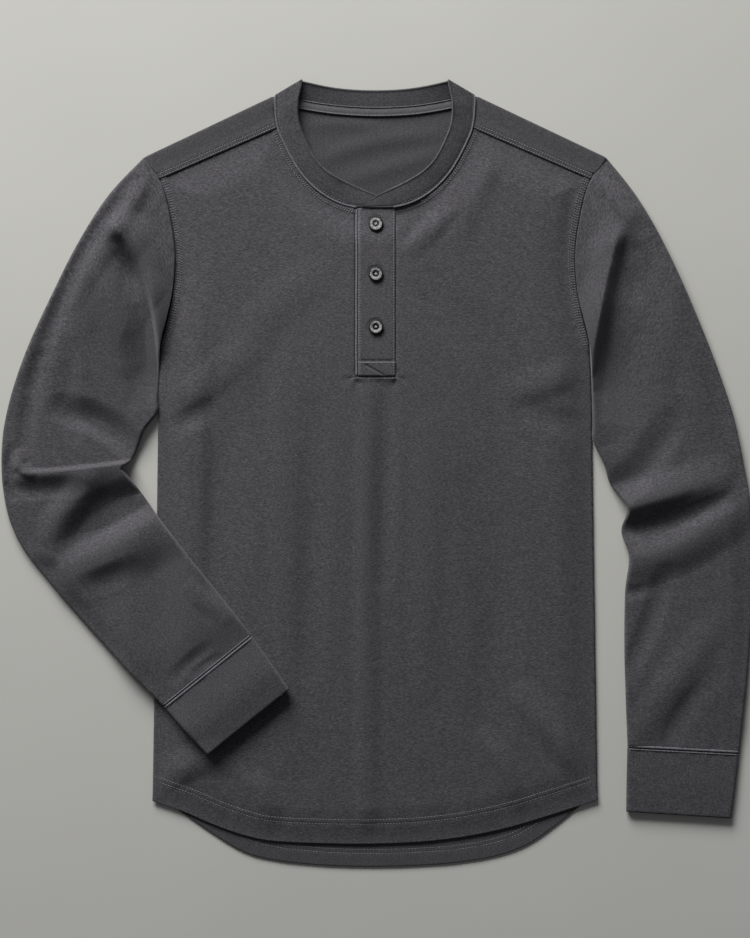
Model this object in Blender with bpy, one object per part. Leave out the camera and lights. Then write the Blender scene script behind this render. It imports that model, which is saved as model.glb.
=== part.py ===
"""Henley shirt laid flat: long sleeves, banded neck and a placket with three buttons.

The shirt lies face up on its back panel.  z = 0 is the face it rests on and +Z is up, +Y runs
towards the neck and +X towards the wearer's left.  The origin is on the centre line, midway
between the high points of the shoulders and the front hem.  Tables and sizes are in millimetres;
the meshes are in metres.
"""
import math
from collections import namedtuple

import bmesh
import bpy
from mathutils import Vector
from mathutils.geometry import delaunay_2d_cdt

MM = 0.001

# Cloth and trim thicknesses
WALL = 1.6             # body and sleeve knit
BAND = 1.6             # doubled rib round the neck
TAPE = 1.0             # tape over the back neck seam
PLACKET_UNDER = 1.0
PLACKET_OVER = 1.1
CUFF = 1.9             # doubled cuff
BUTTON = 2.4
GAP = 0.3              # between pieces that are sewn together or touch

# How the front lies on the back
FRONT_REST = WALL + GAP     # underside of the front along its seams
LOFT = 2.8                  # extra height of the front away from its seams
LOFT_RUN = 55.0             # distance from a seam over which that height is reached

# How the sleeves lie
SLEEVE_AT_ARMHOLE = FRONT_REST + WALL   # height of the flattened tube where it joins the body
SLEEVE_LOFT = 6.2
SLEEVE_AT_CUFF = 5.4
EDGE_ROUND = 3.0            # radius of the folded edge of a sleeve or cuff
ON_FRONT = 0.6              # air between the front and a sleeve or cuff laid on it
CUFF_LOFT = 5.4
CUFF_GAPE = 2.0             # how much higher the open end of a cuff stands
HEAD_SHARE = 0.16           # share of a sleeve over which it fills out below the armhole
HEAD_CURVE_SHARE = 0.35     # share of a sleeve over which its sections straighten out
WRIST_SHARE = 0.15          # share of a sleeve over which it flattens towards the cuff
CLIMB_X, CLIMB_Y = -276.0, 8.0      # where the right sleeve starts to climb onto the front
CLIMB_RUN = 36.0

# Shoulder: the back wraps forward over this line and ends at the forward seam
SHOULDER_NECK = Vector((99.8, 373.5))
SHOULDER_TIP = Vector((231.7, 311.0))
SHOULDER_BEND = 1.3         # mid-cloth radius of the bend
FORWARD_SEAM = [(98.6, 341.0), (215.7, 290.0)]

# Half curves on the wearer's left, mirrored for the right
ARMHOLE = [(231.7, 311.0), (215.7, 290.0), (208.6, 270.5), (203.8, 248.0), (200.5, 226.0),
           (199.8, 203.0), (202.6, 174.0), (208.4, 148.0), (214.5, 124.0)]
SIDE = [(214.5, 124.0), (216.8, 69.0), (218.5, -51.0), (221.2, -231.0), (222.6, -325.0)]

# Hems, from the wearer's right to left
FRONT_HEM = [(-222.6, -332.0), (-191.0, -343.0), (-162.0, -355.5), (-132.0, -366.0),
             (-103.0, -372.0), (-59.0, -374.3), (-6.0, -375.0), (44.0, -373.0), (88.0, -368.0),
             (132.0, -359.0), (176.0, -346.0), (222.6, -331.0)]
BACK_HEM = [(-222.6, -325.0), (-197.0, -341.5), (-153.0, -371.0), (-129.0, -384.0),
            (-103.0, -391.0), (-59.0, -396.0), (-6.0, -398.0), (58.0, -396.0), (102.0, -391.0),
            (132.0, -384.0), (161.0, -371.0), (202.0, -340.0), (222.6, -325.0)]

# Placket
NOTCH_RIGHT, NOTCH_LEFT = -20.2, 22.3       # cut in the front panel, wearer's right and left
PLACKET_TOP, PLACKET_FOOT = 261.0, 92.0
PLACKET_EDGE = -16.5                        # free edge of the upper placket
BUTTON_X = 0.9
BUTTON_Y = (244.8, 194.4, 141.5)
BUTTON_RADIUS = 7.0
BUTTON_RIM, BUTTON_WELL = 4.6, 3.9          # radii: inside of the rim, floor of the well
BUTTON_WELL_DEPTH = 0.7
BUTTON_EDGE, BUTTON_EDGE_DROP = 1.2, 0.5    # width and depth of the rounding at the edge
HOLE_RADIUS, HOLE_OUT = 0.75, 1.35          # thread holes and their distance off the axes

# Neckband.  A row per section: the sewn edge, the free edge and the height of mid-cloth.
Band = namedtuple("Band", "seam_x seam_y free_x free_y mid")
BAND_OVER_END = [
    Band(-13.4, 261.8, -12.2, 263.3, 4.6),
    Band(-5.0, 261.5, -5.2, 268.6, 4.6),
    Band(6.0, 261.4, 2.8, 273.8, 4.6),
    Band(18.0, 261.6, 12.0, 278.6, 4.6),
    Band(31.0, 264.5, 21.5, 283.2, 4.4),
    Band(44.0, 270.0, 32.0, 288.4, 4.0),
]
BAND_UNDER_END = [
    Band(8.0, 263.4, 11.0, 269.4, 2.7),
    Band(-2.0, 262.9, 6.0, 272.0, 2.7),
    Band(-12.0, 262.5, -1.5, 275.2, 2.7),
    Band(-21.0, 262.3, -10.0, 279.0, 2.7),
    Band(-31.0, 264.5, -20.5, 283.6, 2.7),
    Band(-44.0, 270.0, -32.0, 289.0, 2.8),
]
BAND_SIDE = [
    Band(56.4, 278.1, 43.2, 295.0, 3.3),
    Band(66.8, 287.5, 51.4, 301.4, 3.1),
    Band(76.2, 298.7, 58.6, 309.4, 3.1),
    Band(84.2, 312.0, 65.0, 320.0, 3.1),
    Band(91.0, 325.5, 70.4, 331.6, 3.2),
    Band(96.2, 337.5, 74.4, 342.4, 3.6),
    Band(98.8, 350.0, 76.4, 353.6, 3.95),
    Band(99.6, 362.0, 76.2, 369.0, 4.0),
]
BAND_FOLD = Band(99.6, 374.5, 73.0, 389.0, 0.0)     # the line it folds over at the shoulder
BAND_BACK = [
    Band(88.0, 370.0, 64.5, 385.9, 0.8),
    Band(75.0, 366.0, 51.5, 383.2, 0.8),
    Band(50.0, 360.6, 35.5, 380.8, 0.8),
    Band(25.0, 357.8, 18.0, 379.4, 0.8),
]
BAND_CENTRE = Band(0.0, 357.0, 0.0, 379.0, 0.8)
TAPE_LINE = [(-90.0, 369.6), (-74.0, 364.8), (-40.0, 359.6), (0.0, 357.4), (40.0, 359.2),
             (76.0, 365.2), (90.0, 369.6)]
TAPE_WIDTH = 9.5

# Sleeves.  A row per section: its folded edge away from the body and the one towards it.
Section = namedtuple("Section", "out_x out_y in_x in_y")
SLEEVE_RIGHT = [
    Section(-233.2, 311.0, -215.3, 123.4),
    Section(-266.0, 274.0, -216.6, 110.0),
    Section(-297.0, 225.0, -216.6, 97.0),
    Section(-325.0, 170.0, -217.1, 84.0),
    Section(-347.0, 122.0, -218.1, 70.0),
    Section(-362.0, 80.0, -219.3, 56.0),
    Section(-370.5, 45.0, -230.0, 39.0),
    Section(-373.0, 22.0, -240.0, 14.0),
    Section(-373.4, 4.0, -249.6, 1.8),
    Section(-372.0, -20.0, -248.4, -3.6),
    Section(-365.5, -51.0, -236.0, -20.0),
    Section(-352.0, -80.0, -218.0, -45.0),
    Section(-329.4, -109.0, -195.0, -75.0),
    Section(-299.0, -145.0, -171.0, -105.0),
    Section(-266.5, -181.0, -150.0, -131.0),
    Section(-237.0, -212.0, -135.0, -150.0),
    Section(-211.4, -236.6, -122.9, -165.4),
]
SLEEVE_LEFT = [
    Section(233.2, 311.0, 215.8, 123.4),
    Section(258.0, 278.0, 216.9, 109.0),
    Section(283.0, 237.0, 216.7, 95.0),
    Section(307.0, 188.0, 217.2, 80.0),
    Section(330.0, 134.0, 217.9, 63.0),
    Section(347.0, 89.0, 218.6, 46.0),
    Section(359.5, 50.0, 219.4, 28.0),
    Section(369.0, 5.0, 229.0, 4.0),
    Section(374.3, -25.0, 235.0, -15.0),
    Section(376.5, -55.0, 251.0, -39.0),
    Section(377.0, -85.0, 246.5, -62.0),
    Section(377.0, -115.0, 253.5, -88.0),
    Section(376.5, -150.0, 250.0, -123.0),
    Section(374.0, -190.0, 249.2, -175.0),
    Section(369.5, -236.0, 250.5, -226.0),
    Section(364.6, -283.6, 252.6, -277.6),
]
CUFF_RIGHT = [
    Section(-211.0, -237.1, -122.6, -166.0),
    Section(-189.0, -261.0, -104.0, -192.0),
    Section(-166.8, -284.5, -85.4, -219.0),
]
CUFF_LEFT = [
    Section(364.4, -284.4, 252.4, -278.5),
    Section(360.5, -317.0, 251.6, -311.0),
    Section(356.4, -349.3, 251.2, -342.5),
]

# Folds.  A row per fold: its ends, a point it bends through, its height (below zero for a
# trough) and how far it reaches to the left and to the right of the way it runs.
Fold = namedtuple("Fold", "x0 y0 xm ym x1 y1 rise left right")
FRONT_FOLDS = [
    Fold(-158, 84, -157, 20, -158, -60, -1.2, 40, 40),
    Fold(-8, 76, -10, -150, -8, -400, 1.0, 34, 32),
    Fold(140, 74, 180, 88, 214, 98, 1.6, 34, 30),
    Fold(-214, 74, -176, 80, -134, 106, 1.6, 34, 30),
    Fold(150, -230, 182, -276, 216, -322, 1.6, 34, 32),
    Fold(-160, -300, -186, -306, -214, -318, 1.0, 30, 30),
    Fold(96, -20, 120, -130, 116, -250, -1.2, 40, 38),
    Fold(60, 180, 110, 120, 150, 20, -1.0, 38, 40),
]
SLEEVE_RIGHT_FOLDS = [
    Fold(-364, -16, -300, -2, -200, 11, 8.0, 13, 36),
    Fold(-318, -76, -277, -50, -196, -8, -4.6, 24, 16),
    Fold(-305, -106, -257, -79, -180, -36, 5.6, 24, 22),
    Fold(-286, -17, -311, -46, -328, -84, 4.2, 14, 20),
    Fold(-312, 80, -267, 42, -218, -6, -4.0, 16, 16),
    Fold(-300, 84, -248, 60, -200, 18, 5.0, 24, 15),
    Fold(-256, 268, -226, 189, -213, 98, 4.4, 24, 12),
    Fold(-240, 258, -264, 224, -290, 194, 3.8, 14, 24),
]
SLEEVE_LEFT_FOLDS = [
    Fold(215, -26, 257, 12, 290, 58, -4.0, 28, 15),
    Fold(222, -46, 295, -25, 360, -3, 8.0, 28, 16),
    Fold(222, -68, 285, -56, 372, -25, -4.0, 15, 14),
    Fold(232, -97, 300, -79, 372, -36, 5.6, 20, 20),
    Fold(290, -104, 272, -161, 252, -204, -1.8, 16, 16),
    Fold(258, -276, 298, -214, 340, -156, 2.2, 24, 22),
    Fold(242, 268, 227, 196, 214, 60, 6.0, 18, 28),
    Fold(248, 240, 240, 169, 232, 50, -2.4, 26, 14),
]

# Mesh density
PANEL_GRID = 27.0
TRIM_GRID = 20.0
CURVE_STEPS = 4
SECTION_STEPS = 3
BAND_STEPS = 2
PLACKET_STEPS = 9
TOP_POINTS = 8         # across the upper face of a sleeve, between its folded edges
UNDER_POINTS = 5
CUFF_TOP_POINTS = 3
BEND_STEPS = 4
BUTTON_SIDES = 20
HOLE_SIDES = 8
FOLD_END = 0.12        # share of a half turn at which a fold starts, so that its ends are low
EDGE_SHARE = 0.3       # where the point between an edge and the top of its rounding lies
GRID_CLEAR = 0.4       # share of the grid that its points keep from the outline
MERGE = 1e-5

# Colours
HEATHER = (0.056, 0.054, 0.060, 1.0)
RIB = (0.060, 0.058, 0.064, 1.0)
TWILL_TAPE = (0.052, 0.052, 0.056, 1.0)
HORN = (0.16, 0.15, 0.13, 1.0)


# ---------------------------------------------------------------- curves
def mirror(points):
    return [(-x, y) for x, y in points]


def ease(value):
    """Smooth step from 0 to 1 as value runs from 0 to 1."""
    value = min(max(value, 0.0), 1.0)
    return value * value * (3.0 - 2.0 * value)


def through(knots, steps):
    """Rows interpolated by Catmull-Rom through the knots, which may have any number of columns."""
    rows = []
    last = len(knots) - 1
    for index in range(last):
        before, start = knots[max(index - 1, 0)], knots[index]
        end, after = knots[index + 1], knots[min(index + 2, last)]
        for step in range(steps):
            t = step / steps
            rows.append(tuple(
                0.5 * (2 * b + (c - a) * t + (2 * a - 5 * b + 4 * c - d) * t * t
                       + (3 * b - a - 3 * c + d) * t ** 3)
                for a, b, c, d in zip(before, start, end, after)))
    rows.append(tuple(knots[-1]))
    return rows


def offset(points, distance):
    """The open polyline moved to the right of the way it runs."""
    moved = []
    for index, point in enumerate(points):
        ahead = Vector(points[min(index + 1, len(points) - 1)])
        behind = Vector(points[max(index - 1, 0)])
        run = (ahead - behind).normalized()
        moved.append((point[0] + run.y * distance, point[1] - run.x * distance))
    return moved


def inside(point, outline):
    crossings = False
    x, y = point
    for (x0, y0), (x1, y1) in zip(outline, outline[1:] + outline[:1]):
        if (y0 > y) != (y1 > y) and x < (x1 - x0) * (y - y0) / (y1 - y0) + x0:
            crossings = not crossings
    return crossings


def distance_to(point, start, end):
    """Distance from the segment, share of the way along it, and +1 to its left or -1."""
    run_x, run_y = end[0] - start[0], end[1] - start[1]
    rel_x, rel_y = point[0] - start[0], point[1] - start[1]
    share = (rel_x * run_x + rel_y * run_y) / (run_x * run_x + run_y * run_y)
    share = min(max(share, 0.0), 1.0)
    away = math.hypot(rel_x - share * run_x, rel_y - share * run_y)
    return away, share, math.copysign(1.0, run_x * rel_y - run_y * rel_x)


def inset(point, outline):
    """How far inside the closed outline the point is."""
    if not inside(point, outline):
        return 0.0
    return min(distance_to(point, a, b)[0] for a, b in zip(outline, outline[1:] + outline[:1]))


def fold_height(point, folds):
    """Sum of the folds at the point.  Each one fades at its ends and to its sides."""
    total = 0.0
    for fold in folds:
        middle = (fold.xm, fold.ym)
        first = distance_to(point, (fold.x0, fold.y0), middle)
        second = distance_to(point, middle, (fold.x1, fold.y1))
        away, share, side = min(first, second)
        along = 0.5 * share + (0.5 if second[0] < first[0] else 0.0)
        reach = fold.left if side > 0 else fold.right
        if away < reach:
            across = (1.0 - (away / reach) ** 2) ** 2
            swing = FOLD_END + (1.0 - 2.0 * FOLD_END) * along
            total += fold.rise * across * math.sin(math.pi * swing)
    return total


# ---------------------------------------------------------------- shape of the front
def band_fold(side):
    """Sections round the bend of the neckband, from its front half to its back half."""
    back_mid = BAND_BACK[0].mid
    radius = (BAND_SIDE[-1].mid - back_mid) / 2
    seam = Vector((BAND_FOLD.seam_x, BAND_FOLD.seam_y))
    free = Vector((BAND_FOLD.free_x, BAND_FOLD.free_y))
    run = (free - seam).normalized()
    outward = Vector((run.y, -run.x))
    rows = []
    for step in range(BEND_STEPS + 1):
        turn = math.pi * step / BEND_STEPS
        shift = outward * radius * (math.sin(turn) - 1.0)
        height = back_mid + radius * (1.0 + math.cos(turn))
        rows.append(Band(side * (seam + shift).x, (seam + shift).y,
                         side * (free + shift).x, (free + shift).y, height))
    return rows


def neck_line(front_side):
    """Seam of the neckband to the body on the wearer's left, from the shoulder inward."""
    if front_side:
        rows = (BAND_OVER_END[3:] + BAND_SIDE)[::-1]
    else:
        rows = band_fold(1.0)[-1:] + BAND_BACK + [BAND_CENTRE]
    return through([(row.seam_x, row.seam_y) for row in rows], CURVE_STEPS)


def front_outline():
    """Outline of the front without the cut for the placket, anticlockwise from the placket."""
    neck = [p for p in offset(neck_line(True), -GAP)
            if p[1] < FORWARD_SEAM[0][1] and p[0] > NOTCH_LEFT + 1.0]
    seam = offset(FORWARD_SEAM, GAP)
    armhole = through(ARMHOLE[1:], CURVE_STEPS)
    side = through(SIDE, CURVE_STEPS)[1:-1]
    left = neck[::-1] + seam + armhole[1:] + side
    hem = through(FRONT_HEM, CURVE_STEPS)[::-1]
    right = mirror(left)[::-1]
    return left + hem + right


FRONT_OUTLINE = front_outline()


def front_under(x, y):
    """Height of the underside of the front."""
    settle = ease(inset((x, y), FRONT_OUTLINE) / LOFT_RUN)
    return FRONT_REST + settle * (LOFT + fold_height((x, y), FRONT_FOLDS))


def sleeve_rest(x, y):
    """Height of the underside of the right sleeve and cuff, which cross onto the front."""
    climb = ease((x - CLIMB_X) / CLIMB_RUN) * ease((CLIMB_Y - y) / CLIMB_RUN)
    return climb * (front_under(x, y) + WALL + ON_FRONT)


def on_floor(x, y):
    """Height of the underside of what lies beside the body."""
    return 0.0


# ---------------------------------------------------------------- meshes
def material(name, colour, roughness, metallic=0.0):
    made = bpy.data.materials.new(name)
    made.use_nodes = True
    shader = made.node_tree.nodes["Principled BSDF"]
    shader.inputs["Base Color"].default_value = colour
    shader.inputs["Roughness"].default_value = roughness
    shader.inputs["Metallic"].default_value = metallic
    made.diffuse_color = colour
    return made


def finish(name, points, faces, made_of, smooth=True):
    """Adds the object, scaled to metres, with its faces turned outward."""
    mesh = bpy.data.meshes.new(name)
    mesh.from_pydata([[c * MM for c in p] for p in points], [], faces)
    work = bmesh.new()
    work.from_mesh(mesh)
    bmesh.ops.triangulate(work, faces=work.faces[:])
    bmesh.ops.recalc_face_normals(work, faces=work.faces[:])
    if work.calc_volume(signed=True) < 0:
        bmesh.ops.reverse_faces(work, faces=work.faces[:])
    for face in work.faces:
        face.smooth = smooth
    work.to_mesh(mesh)
    work.free()
    mesh.materials.append(made_of)
    bpy.context.scene.collection.objects.link(bpy.data.objects.new(name, mesh))


def triangulated(outline, holes, lines, grid):
    """Flat points and triangles that fill the outline, with the lines kept as edges."""
    points = [Vector(p) for p in outline]
    edges = [(i, (i + 1) % len(outline)) for i in range(len(outline))]
    for hole in holes:
        start = len(points)
        points += [Vector(p) for p in hole]
        edges += [(start + i, start + (i + 1) % len(hole)) for i in range(len(hole))]
    for line in lines:
        start = len(points)
        points += [Vector(p) for p in line]
        edges += [(start + i, start + i + 1) for i in range(len(line) - 1)]
    if grid:
        low_x, high_x = min(p[0] for p in outline), max(p[0] for p in outline)
        low_y, high_y = min(p[1] for p in outline), max(p[1] for p in outline)
        across = max(1, round((high_x - low_x) / grid))
        up = max(1, round((high_y - low_y) / grid))
        for column in range(1, across):
            for row in range(1, up):
                point = (low_x + (high_x - low_x) * column / across,
                         low_y + (high_y - low_y) * row / up)
                if inset(point, outline) > GRID_CLEAR * grid:
                    points.append(Vector(point))
    flat, _, triangles, *_ = delaunay_2d_cdt(points, edges, [], 1, MERGE)
    kept = []
    for triangle in triangles:
        centre = sum((flat[i] for i in triangle), Vector((0, 0))) / 3
        if inside(centre, outline) and not any(inside(centre, hole) for hole in holes):
            kept.append(tuple(triangle))
    return flat, kept


def slab(name, outline, under, over, made_of, grid=0.0, holes=(), lines=(), smooth=True):
    """A sheet of cloth: the outline filled twice and closed round its edges.

    under and over turn a flat point into its place on the lower and upper face.
    """
    flat, triangles = triangulated(outline, holes, lines, grid)
    count = len(flat)
    points = [under(p.x, p.y) for p in flat] + [over(p.x, p.y) for p in flat]
    faces = [tuple(reversed(t)) for t in triangles]
    faces += [tuple(i + count for i in t) for t in triangles]
    sides = {(t[i], t[(i + 1) % 3]) for t in triangles for i in range(3)}
    for start, end in sides:
        if (end, start) not in sides:
            faces.append((start, end, end + count, start + count))
    finish(name, points, faces, made_of, smooth)


def strip(name, rings, made_of):
    """A solid strip through rings of equal length."""
    size = len(rings[0])
    points = [p for ring in rings for p in ring]
    faces = []
    for row in range(len(rings) - 1):
        for i in range(size):
            j = (i + 1) % size
            faces.append((row * size + i, row * size + j,
                          (row + 1) * size + j, (row + 1) * size + i))
    last = (len(rings) - 1) * size
    faces.append(tuple(range(size)))
    faces.append(tuple(last + i for i in reversed(range(size))))
    finish(name, points, faces, made_of)


def tube(name, outer, inner, made_of):
    """A cloth tube, open at both ends, from the rings of its outer and inner faces."""
    size, rows = len(outer[0]), len(outer)
    points = [p for ring in outer for p in ring] + [p for ring in inner for p in ring]
    skin = size * rows
    faces = []
    for i in range(size):
        j = (i + 1) % size
        for row in range(rows - 1):
            a, b = row * size, (row + 1) * size
            faces.append((a + i, b + i, b + j, a + j))
            faces.append((skin + a + i, skin + a + j, skin + b + j, skin + b + i))
        end = (rows - 1) * size
        faces.append((i, j, skin + j, skin + i))
        faces.append((end + j, end + i, skin + end + i, skin + end + j))
    finish(name, points, faces, made_of)


# ---------------------------------------------------------------- back
def bend_frame(side):
    """A point on the shoulder line and its outward direction, on the given side."""
    run = (SHOULDER_TIP - SHOULDER_NECK).normalized()
    return Vector((side * SHOULDER_NECK.x, SHOULDER_NECK.y)), Vector((side * -run.y, run.x))


def spread(x, y):
    """Flat-pattern place of a point of the shoulder wrap, given where it lies on the front."""
    side = math.copysign(1.0, x)
    base, outward = bend_frame(side)
    beyond = (Vector((x, y)) - base).dot(outward)
    moved = Vector((x, y)) + outward * (-2.0 * beyond + (math.pi - 2.0) * SHOULDER_BEND)
    return (moved.x, moved.y)


def wrapped(x, y, lift):
    """Place of a flat-pattern point of the back, lift above mid-cloth on its outer face."""
    base, outward = bend_frame(math.copysign(1.0, x))
    arc = (Vector((x, y)) - base).dot(outward) + SHOULDER_BEND
    turn = min(max(arc / SHOULDER_BEND, 0.0), math.pi)
    past = max(arc - math.pi * SHOULDER_BEND, 0.0)
    flat = Vector((x, y))
    if arc > 0:
        radius = SHOULDER_BEND - lift
        flat += outward * (radius * math.sin(turn) - arc - past)
        height = WALL / 2 + SHOULDER_BEND - radius * math.cos(turn)
    else:
        height = WALL / 2 + lift
    return (flat.x, flat.y, height)


def bend_lines(side):
    """Rows along the bend, in the flat pattern, ending on the neck and armhole edges."""
    base, outward = bend_frame(side)
    run = Vector((side * (SHOULDER_TIP.x - SHOULDER_NECK.x), SHOULDER_TIP.y - SHOULDER_NECK.y))
    neck, tip = base + run.normalized() * GAP, base + run
    rows = []
    for step in range(BEND_STEPS + 1):
        beyond = outward * (SHOULDER_BEND * (math.pi * step / BEND_STEPS - 1.0))
        rows.append([tuple(neck + beyond), tuple(tip + beyond)])
    return rows


def build_back(cloth):
    neck_edge = [p for p in offset(neck_line(True), -GAP) if p[1] >= FORWARD_SEAM[0][1]]
    wrap = [spread(*p) for p in neck_edge]
    wrap += [spread(*p) for p in FORWARD_SEAM]
    rows = bend_lines(1.0)
    back_neck = offset(neck_line(False), -GAP)[1:]
    left = back_neck[::-1] + [row[0] for row in rows] + wrap
    left += [row[1] for row in rows[::-1]]
    left += through(ARMHOLE, CURVE_STEPS)[1:] + through(SIDE, CURVE_STEPS)[1:-1]
    hem = through(BACK_HEM, CURVE_STEPS)[::-1]
    outline = left + hem + mirror(left)[::-1][:-1]
    lines = rows + bend_lines(-1.0)
    slab("back_panel", outline,
         lambda x, y: wrapped(x, y, -WALL / 2), lambda x, y: wrapped(x, y, WALL / 2),
         cloth, lines=lines)


# ---------------------------------------------------------------- front and placket
def on_front(lift):
    """Places flat points the given height above the underside of the front."""
    return lambda x, y: (x, y, front_under(x, y) + lift)


def rectangle(x0, x1, y0, y1):
    """Anticlockwise rectangle with points along its upright sides."""
    rise = [(x1, y0 + (y1 - y0) * i / PLACKET_STEPS) for i in range(PLACKET_STEPS + 1)]
    fall = [(x0, y) for _, y in reversed(rise)]
    return rise + fall


def build_front(cloth):
    cut = rectangle(NOTCH_RIGHT, NOTCH_LEFT, PLACKET_FOOT - GAP, PLACKET_TOP + 3 * GAP)
    half = len(cut) // 2
    slab("front_panel", cut[half:] + cut[:half] + FRONT_OUTLINE, on_front(0.0), on_front(WALL),
         cloth, grid=PANEL_GRID)


def build_placket(cloth):
    under = rectangle(NOTCH_RIGHT + GAP, NOTCH_LEFT - GAP, PLACKET_FOOT, PLACKET_TOP)
    over = rectangle(PLACKET_EDGE, NOTCH_LEFT - GAP, PLACKET_FOOT, PLACKET_TOP)
    slab("placket_under", under, on_front(0.0), on_front(PLACKET_UNDER), cloth, grid=TRIM_GRID)
    start = PLACKET_UNDER + GAP
    slab("placket_over", over, on_front(start), on_front(start + PLACKET_OVER), cloth,
         grid=TRIM_GRID)


def circle(x, y, radius, sides):
    return [(x + radius * math.cos(math.tau * i / sides),
             y + radius * math.sin(math.tau * i / sides)) for i in range(sides)]


def button_faces(middle):
    """Placing functions of a button's lower and upper face, tilted as the placket lies."""
    rest = front_under(BUTTON_X, middle) + PLACKET_UNDER + PLACKET_OVER + 2 * GAP
    slope = (front_under(BUTTON_X, middle + BUTTON_RADIUS)
             - front_under(BUTTON_X, middle - BUTTON_RADIUS)) / (2 * BUTTON_RADIUS)

    def under(x, y):
        return (x, y, rest + slope * (y - middle))

    def over(x, y):
        away = math.hypot(x - BUTTON_X, y - middle)
        well = BUTTON_WELL_DEPTH * ease((BUTTON_RIM - away) / (BUTTON_RIM - BUTTON_WELL))
        edge = BUTTON_EDGE_DROP * ease((away - BUTTON_RADIUS + BUTTON_EDGE) / BUTTON_EDGE)
        return (x, y, rest + slope * (y - middle) + BUTTON - well - edge)

    return under, over


def build_buttons(horn):
    for number, middle in enumerate(BUTTON_Y, start=1):
        outline = circle(BUTTON_X, middle, BUTTON_RADIUS, BUTTON_SIDES)
        rings = [circle(BUTTON_X, middle, r, BUTTON_SIDES)
                 for r in (BUTTON_RADIUS - BUTTON_EDGE, BUTTON_RIM, BUTTON_WELL)]
        rings = [ring + ring[:1] for ring in rings]
        holes = [circle(BUTTON_X + sx * HOLE_OUT, middle + sy * HOLE_OUT, HOLE_RADIUS, HOLE_SIDES)
                 for sx in (-1, 1) for sy in (-1, 1)]
        slab(f"button_{number}", outline, *button_faces(middle), horn, holes=holes, lines=rings)


# ---------------------------------------------------------------- neckband and tape
def turned(rows, side):
    return [Band(side * r.seam_x, r.seam_y, side * r.free_x, r.free_y, r.mid) for r in rows]


def band_rows():
    """Sections from the over end, round the back, to the under end."""
    over_side = through(BAND_OVER_END + BAND_SIDE, BAND_STEPS)
    under_side = through(BAND_UNDER_END + turned(BAND_SIDE, -1.0), BAND_STEPS)
    fold, far_fold = band_fold(1.0), band_fold(-1.0)
    back = through(fold[-1:] + BAND_BACK + [BAND_CENTRE] + turned(BAND_BACK, -1.0)[::-1]
                   + far_fold[-1:], BAND_STEPS)
    return over_side + fold[:-1] + back + far_fold[-2::-1] + under_side[::-1]


def build_neckband(rib):
    rows = [Band(*row) for row in band_rows()]
    seams = [Vector((r.seam_x, r.seam_y, r.mid)) for r in rows]
    frees = [Vector((r.free_x, r.free_y, r.mid)) for r in rows]
    rings = []
    for index, (seam, free) in enumerate(zip(seams, frees)):
        ahead, behind = min(index + 1, len(rows) - 1), max(index - 1, 0)
        run = (seams[ahead] + frees[ahead] - seams[behind] - frees[behind]).normalized()
        across = (free - seam).normalized()
        normal = run.cross(across).normalized() * (BAND / 2)
        width = (free - seam).length
        tuck = min(BAND / 2, 0.3 * width)
        middle, edge = seam + across * width / 2, free - across * tuck
        rings.append([seam - normal, middle - normal, edge - normal, free,
                      edge + normal, middle + normal, seam + normal])
    strip("neckband", rings, rib)


def build_tape(twill):
    line = through(TAPE_LINE, CURVE_STEPS)
    outline = offset(line, TAPE_WIDTH / 2) + offset(line, -TAPE_WIDTH / 2)[::-1]
    start = WALL + GAP
    slab("neck_tape", outline, lambda x, y: (x, y, start), lambda x, y: (x, y, start + TAPE),
         twill)


# ---------------------------------------------------------------- sleeves and cuffs
def along(points, share):
    """Point at the share of the polyline's length."""
    lengths = [math.dist(a, b) for a, b in zip(points, points[1:])]
    left = share * sum(lengths)
    for start, end, length in zip(points, points[1:], lengths):
        if left <= length:
            t = left / length
            return Vector((start[0] + (end[0] - start[0]) * t, start[1] + (end[1] - start[1]) * t))
        left -= length
    return Vector(points[-1])


def flat_rings(sections, height, rest, folds, wall, top_points, start_curve=None):
    """Outer and inner rings of a flattened tube through the sections.

    height(share) is its thickness along its length, rest(x, y) the height it lies at, and
    start_curve, where given, the curve its first ring follows.
    """
    rows = [Section(*r) for r in through(sections, SECTION_STEPS)]
    outer, inner = [], []
    for index, row in enumerate(rows):
        share = index / (len(rows) - 1)
        near, far = Vector((row.out_x, row.out_y)), Vector((row.in_x, row.in_y))
        width = (far - near).length
        bulge = (1.0 - ease(share / HEAD_CURVE_SHARE)) if start_curve else 0.0
        for rings, tuck in ((outer, 0.0), (inner, wall)):
            radius = EDGE_ROUND - tuck
            reach = width - 2 * tuck

            def place(across, upper):
                at = (tuck + across) / width
                flat = near.lerp(far, at)
                if bulge:
                    chord = Vector(start_curve[0]).lerp(Vector(start_curve[-1]), at)
                    flat += (along(start_curve, at) - chord) * bulge
                low = rest(flat.x, flat.y)
                lift = height(share) + fold_height(flat, folds)
                lift = max(lift, 2 * wall + GAP)
                edge = min(across, reach - across) / radius
                half = (lift / 2 - tuck) * (math.sqrt(1 - (1 - edge) ** 2) if edge < 1 else 1.0)
                return (flat.x, flat.y, low + lift / 2 + (half if upper else -half))

            inner_span = reach - 2 * radius
            tops = [0.0, EDGE_SHARE * radius, radius]
            tops += [radius + inner_span * i / (top_points + 1) for i in range(1, top_points + 1)]
            tops += [reach - radius, reach - EDGE_SHARE * radius]
            lows = [reach, reach - EDGE_SHARE * radius, reach - radius]
            lows += [reach - radius - inner_span * i / (UNDER_POINTS + 1)
                     for i in range(1, UNDER_POINTS + 1)]
            lows += [radius, EDGE_SHARE * radius]
            rings.append([place(a, True) for a in tops] + [place(a, False) for a in lows])
    return outer, inner


def sleeve_height(share):
    head = (SLEEVE_LOFT - SLEEVE_AT_ARMHOLE) * ease(share / HEAD_SHARE)
    wrist = (SLEEVE_AT_CUFF - SLEEVE_LOFT) * ease((share - 1.0 + WRIST_SHARE) / WRIST_SHARE)
    return SLEEVE_AT_ARMHOLE + head + wrist


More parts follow.
